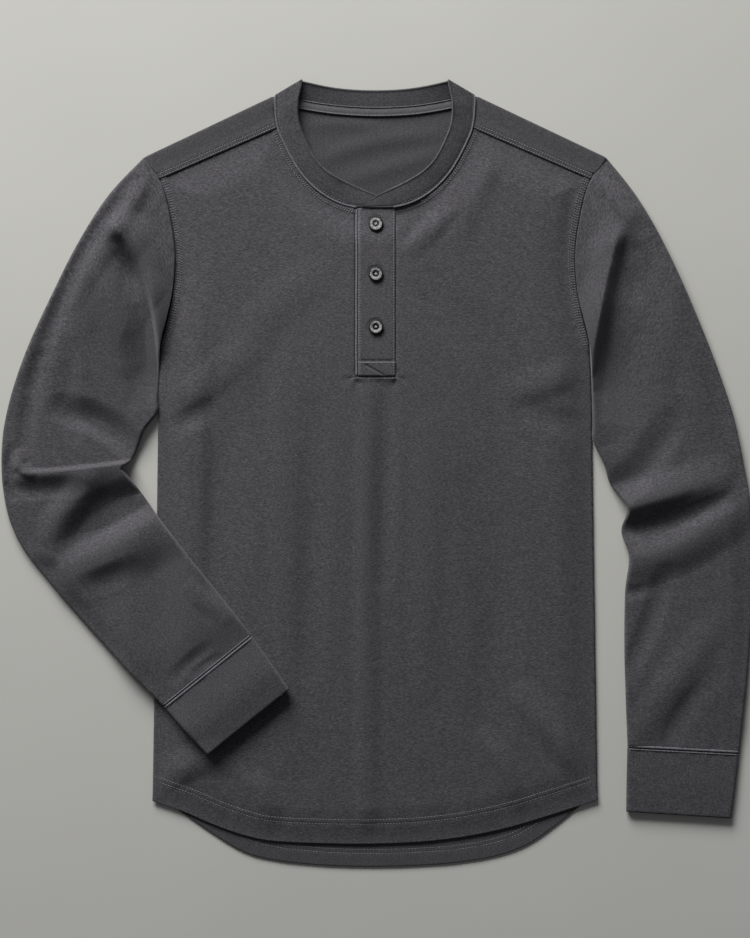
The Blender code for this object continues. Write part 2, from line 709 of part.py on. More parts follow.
def cuff_height(share):
    return CUFF_LOFT + CUFF_GAPE * ease(share)


def build_sleeves(cloth, rib):
    armhole = through(ARMHOLE, CURVE_STEPS)
    tube("sleeve_right", *flat_rings(SLEEVE_RIGHT, sleeve_height, sleeve_rest,
                                     SLEEVE_RIGHT_FOLDS, WALL, TOP_POINTS, mirror(armhole)),
         cloth)
    tube("sleeve_left", *flat_rings(SLEEVE_LEFT, sleeve_height, on_floor,
                                    SLEEVE_LEFT_FOLDS, WALL, TOP_POINTS, armhole), cloth)
    tube("cuff_right", *flat_rings(CUFF_RIGHT, cuff_height, sleeve_rest, [], CUFF,
                                   CUFF_TOP_POINTS), rib)
    tube("cuff_left", *flat_rings(CUFF_LEFT, cuff_height, on_floor, [], CUFF,
                                  CUFF_TOP_POINTS), rib)


def main():
    for thing in list(bpy.data.objects):
        bpy.data.objects.remove(thing)
    cloth = material("heather_jersey", HEATHER, 0.95)
    rib = material("heather_rib", RIB, 0.95)
    twill = material("twill_tape", TWILL_TAPE, 0.9)
    horn = material("grey_horn", HORN, 0.4)
    build_back(cloth)
    build_front(cloth)
    build_sleeves(cloth, rib)
    build_placket(cloth)
    build_neckband(rib)
    build_tape(twill)
    build_buttons(horn)


main()
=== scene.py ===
import math
from collections import namedtuple

import bpy
import numpy as np
from bpy.props import FloatProperty, FloatVectorProperty, PointerProperty
from bpy.types import Operator, Panel, PropertyGroup
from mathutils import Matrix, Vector
from mathutils.geometry import delaunay_2d_cdt
from mathutils.kdtree import KDTree


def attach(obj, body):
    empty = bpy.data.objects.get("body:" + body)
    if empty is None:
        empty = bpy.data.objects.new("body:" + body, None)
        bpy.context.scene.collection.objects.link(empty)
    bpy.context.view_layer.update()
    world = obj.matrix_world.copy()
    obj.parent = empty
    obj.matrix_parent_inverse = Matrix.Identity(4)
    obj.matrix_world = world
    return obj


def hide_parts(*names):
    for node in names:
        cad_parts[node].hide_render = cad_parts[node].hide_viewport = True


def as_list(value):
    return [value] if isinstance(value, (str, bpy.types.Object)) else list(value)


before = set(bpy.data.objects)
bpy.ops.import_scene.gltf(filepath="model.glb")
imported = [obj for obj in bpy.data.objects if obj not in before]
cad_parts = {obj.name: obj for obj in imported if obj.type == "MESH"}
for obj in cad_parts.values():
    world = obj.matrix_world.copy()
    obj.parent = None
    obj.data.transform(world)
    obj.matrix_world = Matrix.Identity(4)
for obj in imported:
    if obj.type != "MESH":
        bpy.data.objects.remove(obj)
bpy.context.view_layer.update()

bl_info = {
    "name": "Henley Shirt",
    "version": (1, 0, 0),
    "blender": (4, 5, 0),
    "location": "View3D > Sidebar > Henley",
    "description": "Dresses a laid-out henley shirt: knit, folds, seams, topstitching, buttons",
    "category": "Object",
}

MM = 0.001

# ---------------------------------------------------------------- pattern, in millimetres
CLOTH = 1.3                 # body and sleeve knit
BAND = 2.2                  # doubled neckband
CUFF = 1.7                  # doubled cuff
TAPE = 0.9
PLACKET_UNDER = 1.0         # lower layer of the placket
PLACKET_OVER = 1.1          # upper layer
SEAM_GAP = 0.3              # between pieces that are sewn together
SIDES = (1.0, -1.0)         # the wearer's left, then right

FRONT_REST = 1.9            # underside of the front along its seams
LOFT = 4.4                  # how much higher the front lies away from its seams
LOFT_RUN = 38.0             # how far in from its seams it is that high
ARMHOLE_LOFT = 4.6          # height of a sleeve at its armhole
SLEEVE_LOFT = 9.2           # between its ends
CUFF_SEAM_LOFT = 5.6        # and at its cuff
CUFF_LOFT = 5.6
CUFF_GAPES = {"right": 6.8, "left": 1.2}    # how far each cuff stands open at its middle
EDGE_ROUND = 3.0            # rounding of the folded edges of sleeves and cuffs
EDGE_POINTS = 6             # points round half of such an edge
UNDER_SPACING = 7.0         # between points on the underside of sleeves and cuffs
ON_FRONT = 0.5              # how far the right sleeve lies clear of the front
HEM_RISE = 0.9              # how much the front's seams and hem stand up under it
CLIMB_X, CLIMB_Y = -276.0, 8.0      # where the right sleeve starts to climb onto the front
CLIMB_RUN = 36.0            # and how far on it has climbed

# How far rows of stitches lie from their seam or edge.
HEM_ROWS = (20.0, 24.5)
BACK_HEM_ROWS = (13.0, 17.0)
ARMHOLE_ROWS = (1.6, 6.2)
SHOULDER_ROWS = (1.3, 4.6)
NECK_ROW = 5.2
TAPE_ROW = 3.9

# How far rows of mesh points lie from each seam and edge, closer together where more happens.
HEM_POINTS = (0.8, 2.5, 6.0, 12.0, 17.0, 18.5, 20.0, 21.5, 23.0, 24.5, 26.0, 28.5)
BACK_HEM_POINTS = (1.0, 3.0, 6.0, 10.0, 11.7, 13.0, 14.3, 15.7, 17.0, 18.5, 22.0)
SHOULDER_POINTS = (0.6, 1.3, 2.0, 3.2, 4.6, 5.4, 7.5, 10.0, 13.0)
ARMHOLE_POINTS = (0.7, 1.6, 2.6, 4.4, 6.2, 7.4, 9.2)
NECK_POINTS = (0.9, 1.8, 3.4, 4.6, 5.6, 7.0, 8.6)
SIDE_POINTS = (0.4, 1.0, 1.8, 2.8, 4.5)
SLOT_POINTS = (0.8, 1.8, 3.2)
FOOT_POINTS = (0.9, 1.8, 3.2, 5.0, 7.5, 10.0)
TAPE_POINTS = (-3.9, -3.2, -2.4, 0.0, 2.4, 3.2, 3.9)

SHOULDER_NECK = np.array((99.8, 373.5))
SHOULDER_TIP = np.array((231.7, 311.0))
SHOULDER_BEND = 1.4         # radius of the middle of the cloth where it folds over the shoulder
SHOULDER_MID = 0.65         # height of the middle of the back's cloth
FORWARD_SEAM = [(98.6, 341.0), (215.7, 290.0)]
ARMHOLE = [(231.7, 311.0), (215.7, 290.0), (208.6, 270.5), (203.8, 248.0), (200.5, 226.0),
           (199.8, 203.0), (202.6, 174.0), (208.4, 148.0), (214.5, 124.0)]
SIDE = [(214.5, 124.0), (216.8, 69.0), (218.5, -51.0), (221.2, -231.0), (222.6, -325.0)]
FRONT_HEM = [(-222.6, -332.0), (-191.0, -343.0), (-162.0, -355.5), (-132.0, -366.0),
             (-103.0, -372.0), (-59.0, -374.3), (-6.0, -375.0), (44.0, -373.0), (88.0, -368.0),
             (132.0, -359.0), (176.0, -346.0), (222.6, -331.0)]
BACK_HEM = [(-222.6, -325.0), (-197.0, -341.5), (-153.0, -371.0), (-129.0, -384.0),
            (-103.0, -391.0), (-59.0, -396.0), (-6.0, -398.0), (58.0, -396.0), (102.0, -391.0),
            (132.0, -384.0), (161.0, -371.0), (202.0, -340.0), (222.6, -325.0)]

NOTCH_RIGHT, NOTCH_LEFT = -20.2, 20.8       # sides of the front's slot for the placket
PLACKET_TOP, PLACKET_FOOT = 261.0, 92.0
PLACKET_MID = 1.0
PLACKET_EDGE = -16.5        # free edge of its upper layer
PLACKET_BOX = 107.0         # top of the sewn box at its foot
PLACKET_SLANT = [(-9.0, 103.5), (9.0, 93.5)]    # slanted row of stitches in the box
BUTTON_X = 0.9
BUTTON_Y = (244.8, 194.4, 141.5)

# Rows across the neckband: its seam, its free edge and the height of its middle there.
Band = namedtuple("Band", "seam_x seam_y free_x free_y mid")
BAND_OVER_END = [
    Band(-13.4, 261.8, -12.2, 263.3, 5.0),
    Band(-5.0, 261.5, -5.2, 268.6, 5.2),
    Band(6.0, 261.4, 2.8, 273.8, 5.4),
    Band(18.0, 261.6, 12.0, 278.6, 5.4),
    Band(31.0, 264.5, 21.5, 283.2, 5.1),
    Band(44.0, 270.0, 32.0, 288.4, 4.6),
]
BAND_UNDER_END = [
    Band(8.0, 263.4, 11.0, 269.4, 2.7),
    Band(-2.0, 262.9, 6.0, 272.0, 2.7),
    Band(-12.0, 262.5, -1.5, 275.2, 2.8),
    Band(-21.0, 262.3, -10.0, 279.0, 2.9),
    Band(-31.0, 264.5, -20.5, 283.6, 3.1),
    Band(-44.0, 270.0, -32.0, 289.0, 3.3),
]
BAND_SIDE = [
    Band(56.4, 278.1, 43.2, 295.0, 3.6),
    Band(66.8, 287.5, 51.4, 301.4, 3.5),
    Band(76.2, 298.7, 58.6, 309.4, 3.5),
    Band(84.2, 312.0, 65.0, 320.0, 3.5),
    Band(91.0, 325.5, 70.4, 331.6, 3.6),
    Band(96.2, 337.5, 74.4, 342.4, 3.9),
    Band(98.8, 350.0, 76.4, 353.6, 4.1),
    Band(99.6, 362.0, 76.2, 369.0, 4.2),
]
BAND_FOLD = Band(99.6, 374.5, 73.0, 389.0, 0.0)
BAND_BACK = [
    Band(88.0, 370.0, 64.5, 385.9, 0.9),
    Band(75.0, 366.0, 51.5, 383.2, 0.9),
    Band(50.0, 360.6, 35.5, 380.8, 0.9),
    Band(25.0, 357.8, 18.0, 379.4, 0.9),
]
BAND_CENTRE = Band(0.0, 357.0, 0.0, 379.0, 0.9)
TAPE_LINE = [(-90.0, 369.6), (-74.0, 364.8), (-40.0, 359.6), (0.0, 357.4), (40.0, 359.2),
             (76.0, 365.2), (90.0, 369.6)]
TAPE_WIDTH = 9.5
TAPE_REST = 2.5             # underside of the tape
BAND_LAP = -14.0            # where the upper end of the neckband ends
BAND_CORNER = [(99.2, 374.5), (100.0, 369.0)]   # top of its seam, at the shoulder
BAND_STAND = 4.0            # how much higher its free edge stands at the sides
CORNER_STAND = 6.5          # the same at its two back corners
STAND_Y, STAND_RUN = 268.0, 40.0        # where the sides begin to stand up, and over how far
CORNER_Y, CORNER_RUN = 345.0, 25.0      # where the corners take over, and over how far
CORNER_X = 74.0             # how far the corners are from the middle
LAP_MID, LAP_RUN = 2.9, 0.6     # up to this height an end is tucked in and can't stand up
FLOOR_CLEAR = 0.05          # the lowest that it comes to the floor
BAND_STEPS, BEND_STEPS = 8, 10      # points between two of its rows, and round its folds

# Sections of the sleeves and cuffs: a point on the outer edge and one on the inner.
Section = namedtuple("Section", "out_x out_y in_x in_y")
SLEEVE_RIGHT = [
    Section(-232.0, 311.0, -214.8, 123.7),
    Section(-266.0, 274.0, -215.5, 111.0),
    Section(-297.0, 225.0, -216.1, 98.0),
    Section(-325.0, 170.0, -216.6, 84.0),
    Section(-347.0, 122.0, -217.1, 70.0),
    Section(-362.0, 80.0, -217.6, 56.0),
    Section(-370.5, 45.0, -230.0, 39.0),
    Section(-373.0, 22.0, -240.0, 14.0),
    Section(-373.4, 4.0, -249.6, 1.8),
    Section(-372.0, -20.0, -248.4, -3.6),
    Section(-365.5, -51.0, -236.0, -20.0),
    Section(-352.0, -80.0, -218.0, -45.0),
    Section(-329.4, -109.0, -195.0, -75.0),
    Section(-299.0, -145.0, -171.0, -105.0),
    Section(-266.5, -181.0, -150.0, -131.0),
    Section(-237.0, -212.0, -135.0, -150.0),
    Section(-211.4, -236.6, -122.9, -165.4),
]
SLEEVE_LEFT = [
    Section(232.0, 311.0, 214.8, 123.7),
    Section(258.0, 278.0, 215.5, 110.0),
    Section(283.0, 237.0, 216.1, 96.0),
    Section(307.0, 188.0, 216.7, 80.0),
    Section(330.0, 134.0, 217.2, 63.0),
    Section(347.0, 89.0, 217.5, 46.0),
    Section(359.5, 50.0, 217.9, 28.0),
    Section(369.0, 5.0, 229.0, 4.0),
    Section(374.3, -25.0, 235.0, -15.0),
    Section(376.5, -55.0, 251.0, -39.0),
    Section(377.0, -85.0, 246.5, -62.0),
    Section(377.0, -115.0, 253.5, -88.0),
    Section(376.5, -150.0, 250.0, -123.0),
    Section(374.0, -190.0, 249.2, -175.0),
    Section(369.5, -236.0, 250.5, -226.0),
    Section(364.6, -283.6, 252.6, -277.6),
]
CUFF_RIGHT = [
    Section(-211.0, -237.1, -122.6, -166.0),
    Section(-189.0, -261.0, -104.0, -192.0),
    Section(-166.8, -284.5, -85.4, -219.0),
]
CUFF_LEFT = [
    Section(364.4, -284.4, 252.4, -278.5),
    Section(360.5, -317.0, 251.6, -311.0),
    Section(356.4, -349.3, 251.2, -342.5),
]

# Folds: the ends, a point each bends through, its height (a trough is below zero), its reach to
# the left and right of the way it runs, and how sharp its crest is from 0 to 1.
Fold = namedtuple("Fold", "x0 y0 xm ym x1 y1 rise left right crisp")
FRONT_FOLDS = [
    Fold(-120, 70, 0, 60, 120, 70, 6.0, 300, 420, 0),
    Fold(-158, 84, -157, 0, -162, -130, -4.6, 38, 18, 0),
    Fold(-92, 100, -90, -80, -88, -290, 1.9, 22, 20, 0),
    Fold(-60, 60, -62, -60, -66, -200, -2.2, 22, 20, 0),
    Fold(-8, 76, -10, -150, -8, -420, 3.2, 18, 14, 0),
    Fold(12, 80, 12, 0, 10, -110, -2.4, 14, 18, 0),
    Fold(52, 40, 54, -80, 48, -220, 1.6, 20, 22, 0),
    Fold(140, 74, 180, 88, 220, 100, 2.6, 24, 18, 0),
    Fold(-220, 72, -176, 80, -134, 110, 2.6, 26, 20, 0),
    Fold(150, -230, 186, -276, 226, -326, 4.6, 24, 18, 0),
    Fold(112, -270, 130, -300, 140, -330, 3.0, 18, 14, 0),
    Fold(-160, -286, -188, -296, -226, -312, 4.1, 20, 22, 0),
    Fold(-128, -306, -112, -322, -104, -350, 2.7, 16, 18, 0),
    Fold(96, -20, 120, -130, 116, -250, -3.0, 34, 30, 0),
    Fold(152, 60, 182, 48, 218, 44, -1.9, 18, 18, 0),
    Fold(-168, 60, -190, 48, -218, 40, -3.2, 16, 14, 0),
    Fold(60, 180, 110, 120, 150, 20, -2.2, 30, 34, 0),
    Fold(-60, 190, -110, 150, -140, 70, 1.9, 26, 30, 0),
    Fold(86, 300, 74, 262, 40, 222, 2.7, 14, 16, 0),
    Fold(58, 282, 46, 252, 26, 226, -2.7, 10, 12, 0),
    Fold(128, 330, 108, 290, 84, 230, 1.9, 18, 20, 0),
    Fold(-190, 290, -190, 220, -188, 150, 2.2, 18, 16, 0),
    Fold(190, 290, 186, 220, 190, 150, 2.2, 16, 16, 0),
]
BACK_FOLDS = [
    Fold(-58, 308, -6, 326, 60, 336, 1.8, 12, 12, 0),
    Fold(-30, 288, 16, 302, 64, 316, 1.5, 10, 12, 0),
    Fold(-70, 344, -30, 346, 10, 340, 1.2, 8, 10, 0),
]
SLEEVE_RIGHT_FOLDS = [
    Fold(-342, -4, -300, -1, -200, 11, 11.0, 4.5, 34, 0.2),
    Fold(-355, 14, -355, 2, -345, -5, 6.0, 10, 7, 0),
    Fold(-364, 20, -366, 0, -358, -20, -3.0, 6, 6, 0),
    Fold(-314, -72, -264, -47, -198, -14, -9.0, 32, 24, 0.3),
    Fold(-286, -17, -309, -46, -326, -80, 7.6, 20, 24, 0),
    Fold(-300, -104, -268, -86, -200, -46, 9.0, 26, 42, 0),
    Fold(-286, -116, -266, -108, -244, -98, -3.6, 15, 18, 0),
    Fold(-364, -22, -330, -19, -300, -18, -4.5, 14, 14, 0),
    Fold(-312, 56, -276, 44, -242, 18, -7.0, 24, 15, 0),
    Fold(-240, 286, -296, 202, -346, 84, -4.0, 12, 12, 0),
    Fold(-332, 110, -346, 60, -350, 10, -3.6, 14, 13, 0),
    Fold(-302, 120, -308, 70, -300, 36, -2.8, 14, 16, 0),
    Fold(-243, 238, -221, 184, -210, 100, 5.5, 22, 9, 0.15),
    Fold(-252, 222, -229, 168, -216, 60, -11.0, 8, 34, 0.15),
    Fold(-264, 232, -248, 206, -236, 166, -5.0, 10, 36, 0.2),
    Fold(-264, 226, -262, 186, -246, 110, 4.5, 22, 26, 0),
    Fold(-330, 225, -270, 236, -214, 240, 7.0, 80, 200, 0),
    Fold(-232, 290, -244, 262, -258, 239, 5.0, 14, 14, 0),
    Fold(-268, 222, -248, 236, -226, 220, 5.5, 26, 64, 0),
    Fold(-252, 176, -236, 172, -218, 160, 4.5, 34, 62, 0),
    Fold(-256, 236, -278, 204, -298, 170, 3.0, 14, 24, 0),
    Fold(-286, 180, -300, 130, -296, 80, 2.6, 24, 24, 0),
    Fold(-214, 80, -218, 60, -228, 40, 4.0, 30, 30, 0),
    Fold(-372, -20, -330, -108, -237, -212, -3.5, 22, 20, 0),
    Fold(-180, -120, -168, -132, -150, -146, 2.8, 14, 14, 0),
    Fold(-200, -208, -184, -192, -166, -178, -1.8, 10, 9, 0),
    Fold(-184, -205, -172, -196, -158, -187, -1.0, 6, 6, 0),
]
SLEEVE_LEFT_FOLDS = [
    Fold(222, -40, 266, -4, 296, 42, -5.5, 26, 18, 0),
    Fold(222, -46, 288, -27, 342, -11, 6.8, 28, 18, 0),
    Fold(212, -50, 252, -38, 300, -24, 3.6, 26, 15, 0),
    Fold(222, -68, 285, -56, 350, -34, -5.0, 14, 12, 0),
    Fold(232, -97, 300, -79, 366, -38, 6.5, 20, 30, 0),
    Fold(236, -122, 256, -123, 276, -120, -1.4, 9, 10, 0),
    Fold(290, -104, 272, -161, 252, -204, -3.0, 15, 15, 0),
    Fold(258, -276, 298, -214, 340, -156, 3.0, 24, 22, 0),
    Fold(290, -280, 310, -240, 340, -206, -1.6, 14, 16, 0),
    Fold(241, 232, 229, 184, 214, 104, 10.0, 12, 25, 0.4),
    Fold(214, 240, 270, 236, 330, 225, 7.0, 80, 200, 0),
    Fold(256, 224, 240, 146, 226, 46, -9.5, 60, 18, 0),
    Fold(230, 286, 244, 262, 258, 232, 6.0, 20, 10, 0.2),
    Fold(232, 214, 250, 221, 276, 208, 3.5, 26, 72, 0),
    Fold(220, 150, 244, 156, 270, 146, 3.5, 36, 76, 0),
    Fold(234, 206, 250, 214, 268, 217, -3.5, 20, 80, 0.1),
    Fold(236, 306, 309, 184, 370, 0, -4.5, 20, 26, 0),
    Fold(370, 0, 377, -115, 372, -230, -3.5, 20, 22, 0),
    Fold(290, 200, 312, 130, 326, 50, 2.4, 26, 24, 0),
    Fold(213, 76, 217, 52, 226, 22, 5.0, 30, 30, 0),
]


# ---------------------------------------------------------------- lines and distances
def ease(value):
    """A smooth step from 0 to 1 as the value goes from 0 to 1."""
    value = np.clip(value, 0.0, 1.0)
    return value * value * (3.0 - 2.0 * value)


def through(knots, steps):
    """Catmull-Rom rows through the knots, which may have any number of columns."""
    k = np.asarray(knots, float)
    k = np.vstack([k[:1], k, k[-1:]])
    t = (np.arange(steps) / steps)[:, None]
    rows = []
    for a, b, c, d in zip(k, k[1:], k[2:], k[3:]):
        rows.append(0.5 * (2 * b + (c - a) * t + (2 * a - 5 * b + 4 * c - d) * t ** 2
                           + (3 * b - a - 3 * c + d) * t ** 3))
    rows.append(k[-1:])
    return np.vstack(rows)


def measure(line):
    """Distance along the line at each of its points."""
    steps = np.hypot(*np.diff(line[:, :2], axis=0).T)
    return np.concatenate([[0.0], np.cumsum(steps)])


def evenly(line, spacing):
    """The line with points the spacing apart, its ends kept."""
    line = np.asarray(line, float)
    along = measure(line)
    count = max(1, round(along[-1] / spacing))
    at = np.linspace(0.0, along[-1], count + 1)
    return np.stack([np.interp(at, along, column) for column in line.T], axis=1)


def tangents(line):
    """The way the line runs at each of its points, a unit long."""
    run = np.gradient(line[:, :2], axis=0)
    return run / np.maximum(np.hypot(*run.T), 1e-9)[:, None]


def shifted(line, distance):
    """The line moved to the right of the way it runs."""
    run = tangents(line)
    return line[:, :2] + np.stack([run[:, 1], -run[:, 0]], axis=1) * distance


def mirrored(line):
    """The line on the other side of the shirt."""
    return np.asarray(line, float) * np.array([-1.0] + [1.0] * (np.shape(line)[1] - 1))


def nearest(points, line):
    """Distance to the line, distance along it there, and 1 to its left, -1 to its right."""
    start, run = line[:-1, :2], np.diff(line[:, :2], axis=0)
    square = np.maximum((run ** 2).sum(1), 1e-12)
    along = measure(line)
    out = np.empty((len(points), 3))
    for first in range(0, len(points), 4000):
        p = points[first:first + 4000]
        rel = p[:, None, :] - start
        share = np.clip((rel * run).sum(2) / square, 0.0, 1.0)
        gap = rel - share[..., None] * run
        away = np.hypot(gap[..., 0], gap[..., 1])
        best = away.argmin(1)
        row = np.arange(len(p))
        part, step = share[row, best], run[best]
        out[first:first + 4000, 0] = away[row, best]
        out[first:first + 4000, 1] = along[best] + part * np.sqrt(square[best])
        side = step[:, 0] * rel[row, best, 1] - step[:, 1] * rel[row, best, 0]
        out[first:first + 4000, 2] = side / np.maximum(np.sqrt(square[best]) * out[
            first:first + 4000, 0], 1e-9)
    return out.T


def inside(points, outline):
    """Whether each point lies inside the closed outline."""
    start, end = outline, np.roll(outline, -1, axis=0)
    hit = np.zeros(len(points), bool)
    for (x0, y0), (x1, y1) in zip(start, end):
        if y0 == y1:
            continue
        crosses = (y0 > points[:, 1]) != (y1 > points[:, 1])
        hit ^= crosses & (points[:, 0] < (x1 - x0) * (points[:, 1] - y0) / (y1 - y0) + x0)
    return hit


def inset(points, outline):
    """How far inside the closed outline each point is."""
    away = nearest(points, np.vstack([outline, outline[:1]]))[0]
    return np.where(inside(points, outline), away, 0.0)


def unevenness(along, period, seed):
    """A smooth random line from -1 to 1 that changes over about the period."""
    knots = np.random.default_rng(seed).uniform(-1.0, 1.0, 4096)
    place = np.asarray(along) / period + 50.0
    low = np.floor(place).astype(int) % 4095
    part = ease(place - np.floor(place))
    return knots[low] * (1 - part) + knots[low + 1] * part


def folds_at(points, folds):
    """Height that the folds add at each point."""
    total = np.zeros(len(points))
    for fold in folds:
        spine = through([(fold.x0, fold.y0), (fold.xm, fold.ym), (fold.x1, fold.y1)], 6)
        reach = max(fold.left, fold.right)
        low, high = spine.min(0) - reach, spine.max(0) + reach
        near = np.flatnonzero(((points > low) & (points < high)).all(1))
        if not len(near):
            continue
        away, along, side = nearest(points[near], spine)
        share = along / measure(spine)[-1]
        away = away / (fold.right + (fold.left - fold.right) * ease(0.5 + 0.5 * side))
        soft = np.clip(1 - away ** 2, 0, None) ** 2
        sharp = np.clip(1 - away, 0, None) ** 1.6
        across = soft * (1 - fold.crisp) + sharp * fold.crisp
        total[near] += fold.rise * across * np.sin(np.pi * (0.1 + 0.8 * share)) ** 0.75
    return total


def groove(away, at, depth, width):
    """Relief of a groove that runs at a distance from a line."""
    return -depth * np.exp(-((away - at) / width) ** 2)


# ---------------------------------------------------------------- seams and edges
def band_fold(side, steps):
    """Sections round the bend of the neckband, from its front half to its back half."""
    back_mid = BAND_BACK[0].mid
    radius = (BAND_SIDE[-1].mid - back_mid) / 2
    seam, free = np.array(BAND_FOLD[:2]), np.array(BAND_FOLD[2:4])
    run = (free - seam) / np.hypot(*(free - seam))
    outward = np.array((run[1], -run[0]))
    rows = []
    for step in range(steps + 1):
        turn = math.pi * step / steps
        shift = outward * radius * (math.sin(turn) - 1.0)
        rows.append(Band(side * (seam + shift)[0], (seam + shift)[1],
                         side * (free + shift)[0], (free + shift)[1],
                         back_mid + radius * (1.0 + math.cos(turn))))
    return rows


def neck_seam(side):
    """Seam of the neckband to the front, from the shoulder to the placket."""
    rows = (BAND_OVER_END[3:] + BAND_SIDE)[::-1]
    return through([(side * row.seam_x, row.seam_y) for row in rows], 8)


def back_neck_seam():
    """Seam of the neckband to the back, from the wearer's left shoulder to the middle."""
    rows = band_fold(1.0, 4)[-1:] + BAND_BACK + [BAND_CENTRE]
    return through([(row.seam_x, row.seam_y) for row in rows], 8)


def other_side(rows):
    """Rows of the neckband mirrored to the wearer's right."""
    return [row._replace(seam_x=-row.seam_x, free_x=-row.free_x) for row in rows]


def half_front():
    """Lines round the wearer's left half of the front, from the placket to the hem."""
    neck = shifted(neck_seam(1.0), -SEAM_GAP)
    neck = neck[(neck[:, 1] < FORWARD_SEAM[0][1]) & (neck[:, 0] > NOTCH_LEFT + 1.0)]
    seam = shifted(evenly(FORWARD_SEAM, 40.0), SEAM_GAP)
    return [neck[::-1], seam, through(ARMHOLE[1:], 8), through(SIDE, 8)]


def joined(lines, spacing):
    """One outline from lines that meet end to end."""
    parts = [evenly(line, spacing) for line in lines]
    kept = [parts[0]]
    for part in parts[1:]:
        kept.append(part[1:] if np.hypot(*(part[0] - kept[-1][-1])) < 0.5 else part)
    return np.vstack(kept)


HEM_LINE = through(FRONT_HEM, 8)
BACK_HEM_LINE = through(BACK_HEM, 8)


def front_outline(spacing):
    """The whole front without its slot: down the left side, along the hem and up the right."""
    left = joined(half_front(), spacing)
    hem = evenly(HEM_LINE[::-1], spacing)
    return np.vstack([left[:-1], hem, mirrored(left)[::-1][1:]])


FRONT_OUTLINE = front_outline(6.0)


def front_under(points):
    """Height of the underside of the front's cloth."""
    settle = ease(inset(points, FRONT_OUTLINE) / LOFT_RUN)
    strength = bpy.context.scene.henley_cloth.fold_strength
    folds = strength * folds_at(points, FRONT_FOLDS)
    return FRONT_REST + settle * (LOFT + folds)


def hem_relief(points, line, rows):
    """The turned hem: thicker cloth, rows of stitches sunk in it and the ripple they leave."""
    away, along, _ = nearest(points, line)
    last = rows[-1]
    relief = 0.45 * (1 - ease((away - last) / 2.5))
    for row in rows:
        relief += groove(away, row, 0.35, 1.1)
    ripple = unevenness(along, 6.0, 11) * 0.22 + unevenness(along, 15.0, 12) * 0.25
    return relief + ripple * np.exp(-((away - last * 0.8) / 12.0) ** 2)


def seam_relief(points, line, raised, rows, seed):
    """A sewn seam allowance under the cloth: raised beside the seam, sunk under its rows."""
    away, along, _ = nearest(points, line)
    relief = 0.7 * (1 - ease((away - raised) / 2.5)) - 0.35 * np.exp(-(away / 0.8) ** 2)
    for row in rows:
        relief += groove(away, row, 0.25, 0.9)
    ripple = unevenness(along, 5.0, seed) * 0.18 + unevenness(along, 14.0, seed + 1) * 0.22
    return relief + ripple * np.exp(-((away - raised) / 7.0) ** 2)


def edge_relief(points, edge, seed):
    """The rounded side edge of the front and the slight ease along it."""
    away = nearest(points, edge)[0]
    drop = 1 - np.sqrt(np.clip(1 - (1 - away / 2.6) ** 2, 0, 1))
    ripple = unevenness(points[:, 1], 26.0, seed) * np.exp(-(away / 14.0) ** 2)
    return 0.25 * ripple - 1.6 * drop * (away < 2.6)


def slot_relief(points):
    """The front round the placket: a low edge, a lip below it and pulls at its corners."""
    x, y = points.T
    beside, foot = np.maximum(NOTCH_RIGHT - x, x - NOTCH_LEFT), PLACKET_FOOT - y
    reach = np.where(foot < 0, beside, np.hypot(np.clip(beside, 0, None), foot))
    relief = -np.where(x > 0, 0.15, 0.35) * np.exp(-(np.clip(reach, 0, None) / 1.6) ** 2)
    aside = np.abs(x - PLACKET_MID)
    relief += 0.9 * np.exp(-((foot - 2.0) / 1.6) ** 2) * (aside < 24.0)
    corner = np.hypot(aside - 21.0, 3.0 - foot)
    pull = np.sin(4.0 * np.arctan2(-foot, aside - 21.0))
    return relief + 0.9 * pull * np.exp(-(corner / 9.0) ** 2)


def front_top(points):
    """Height of the upper face of the front's cloth."""
    points = np.atleast_2d(points)
    height = front_under(points) + CLOTH + hem_relief(points, HEM_LINE, HEM_ROWS)
    for side in SIDES:
        near = points[:, 0] * side > 0
        half, seed = points[near], int(side)
        armhole = through(ARMHOLE[1:], 6) * (side, 1.0)
        height[near] += seam_relief(half, armhole, 6.5, ARMHOLE_ROWS, 21 + seed)
        height[near] += seam_relief(half, neck_seam(side), 5.5, (NECK_ROW,), 31 + seed)
        height[near] += edge_relief(half, through(SIDE, 6) * (side, 1.0), 41 + seed)
    return height + slot_relief(points)


def sleeve_rest(points):
    """Height of the underside of the right sleeve, which crosses onto the front."""
    x, y = points.T
    climb = ease((x - CLIMB_X) / CLIMB_RUN) * ease((CLIMB_Y - y) / CLIMB_RUN)
    height = np.zeros(len(points))
    over = climb > 0
    if over.any():
        height[over] = climb[over] * (front_under(points[over]) + CLOTH + HEM_RISE + ON_FRONT)
    return height


def level(height):
    """Height function of a flat place."""
    def flat(points):
        return np.full(len(points), height)
    return flat


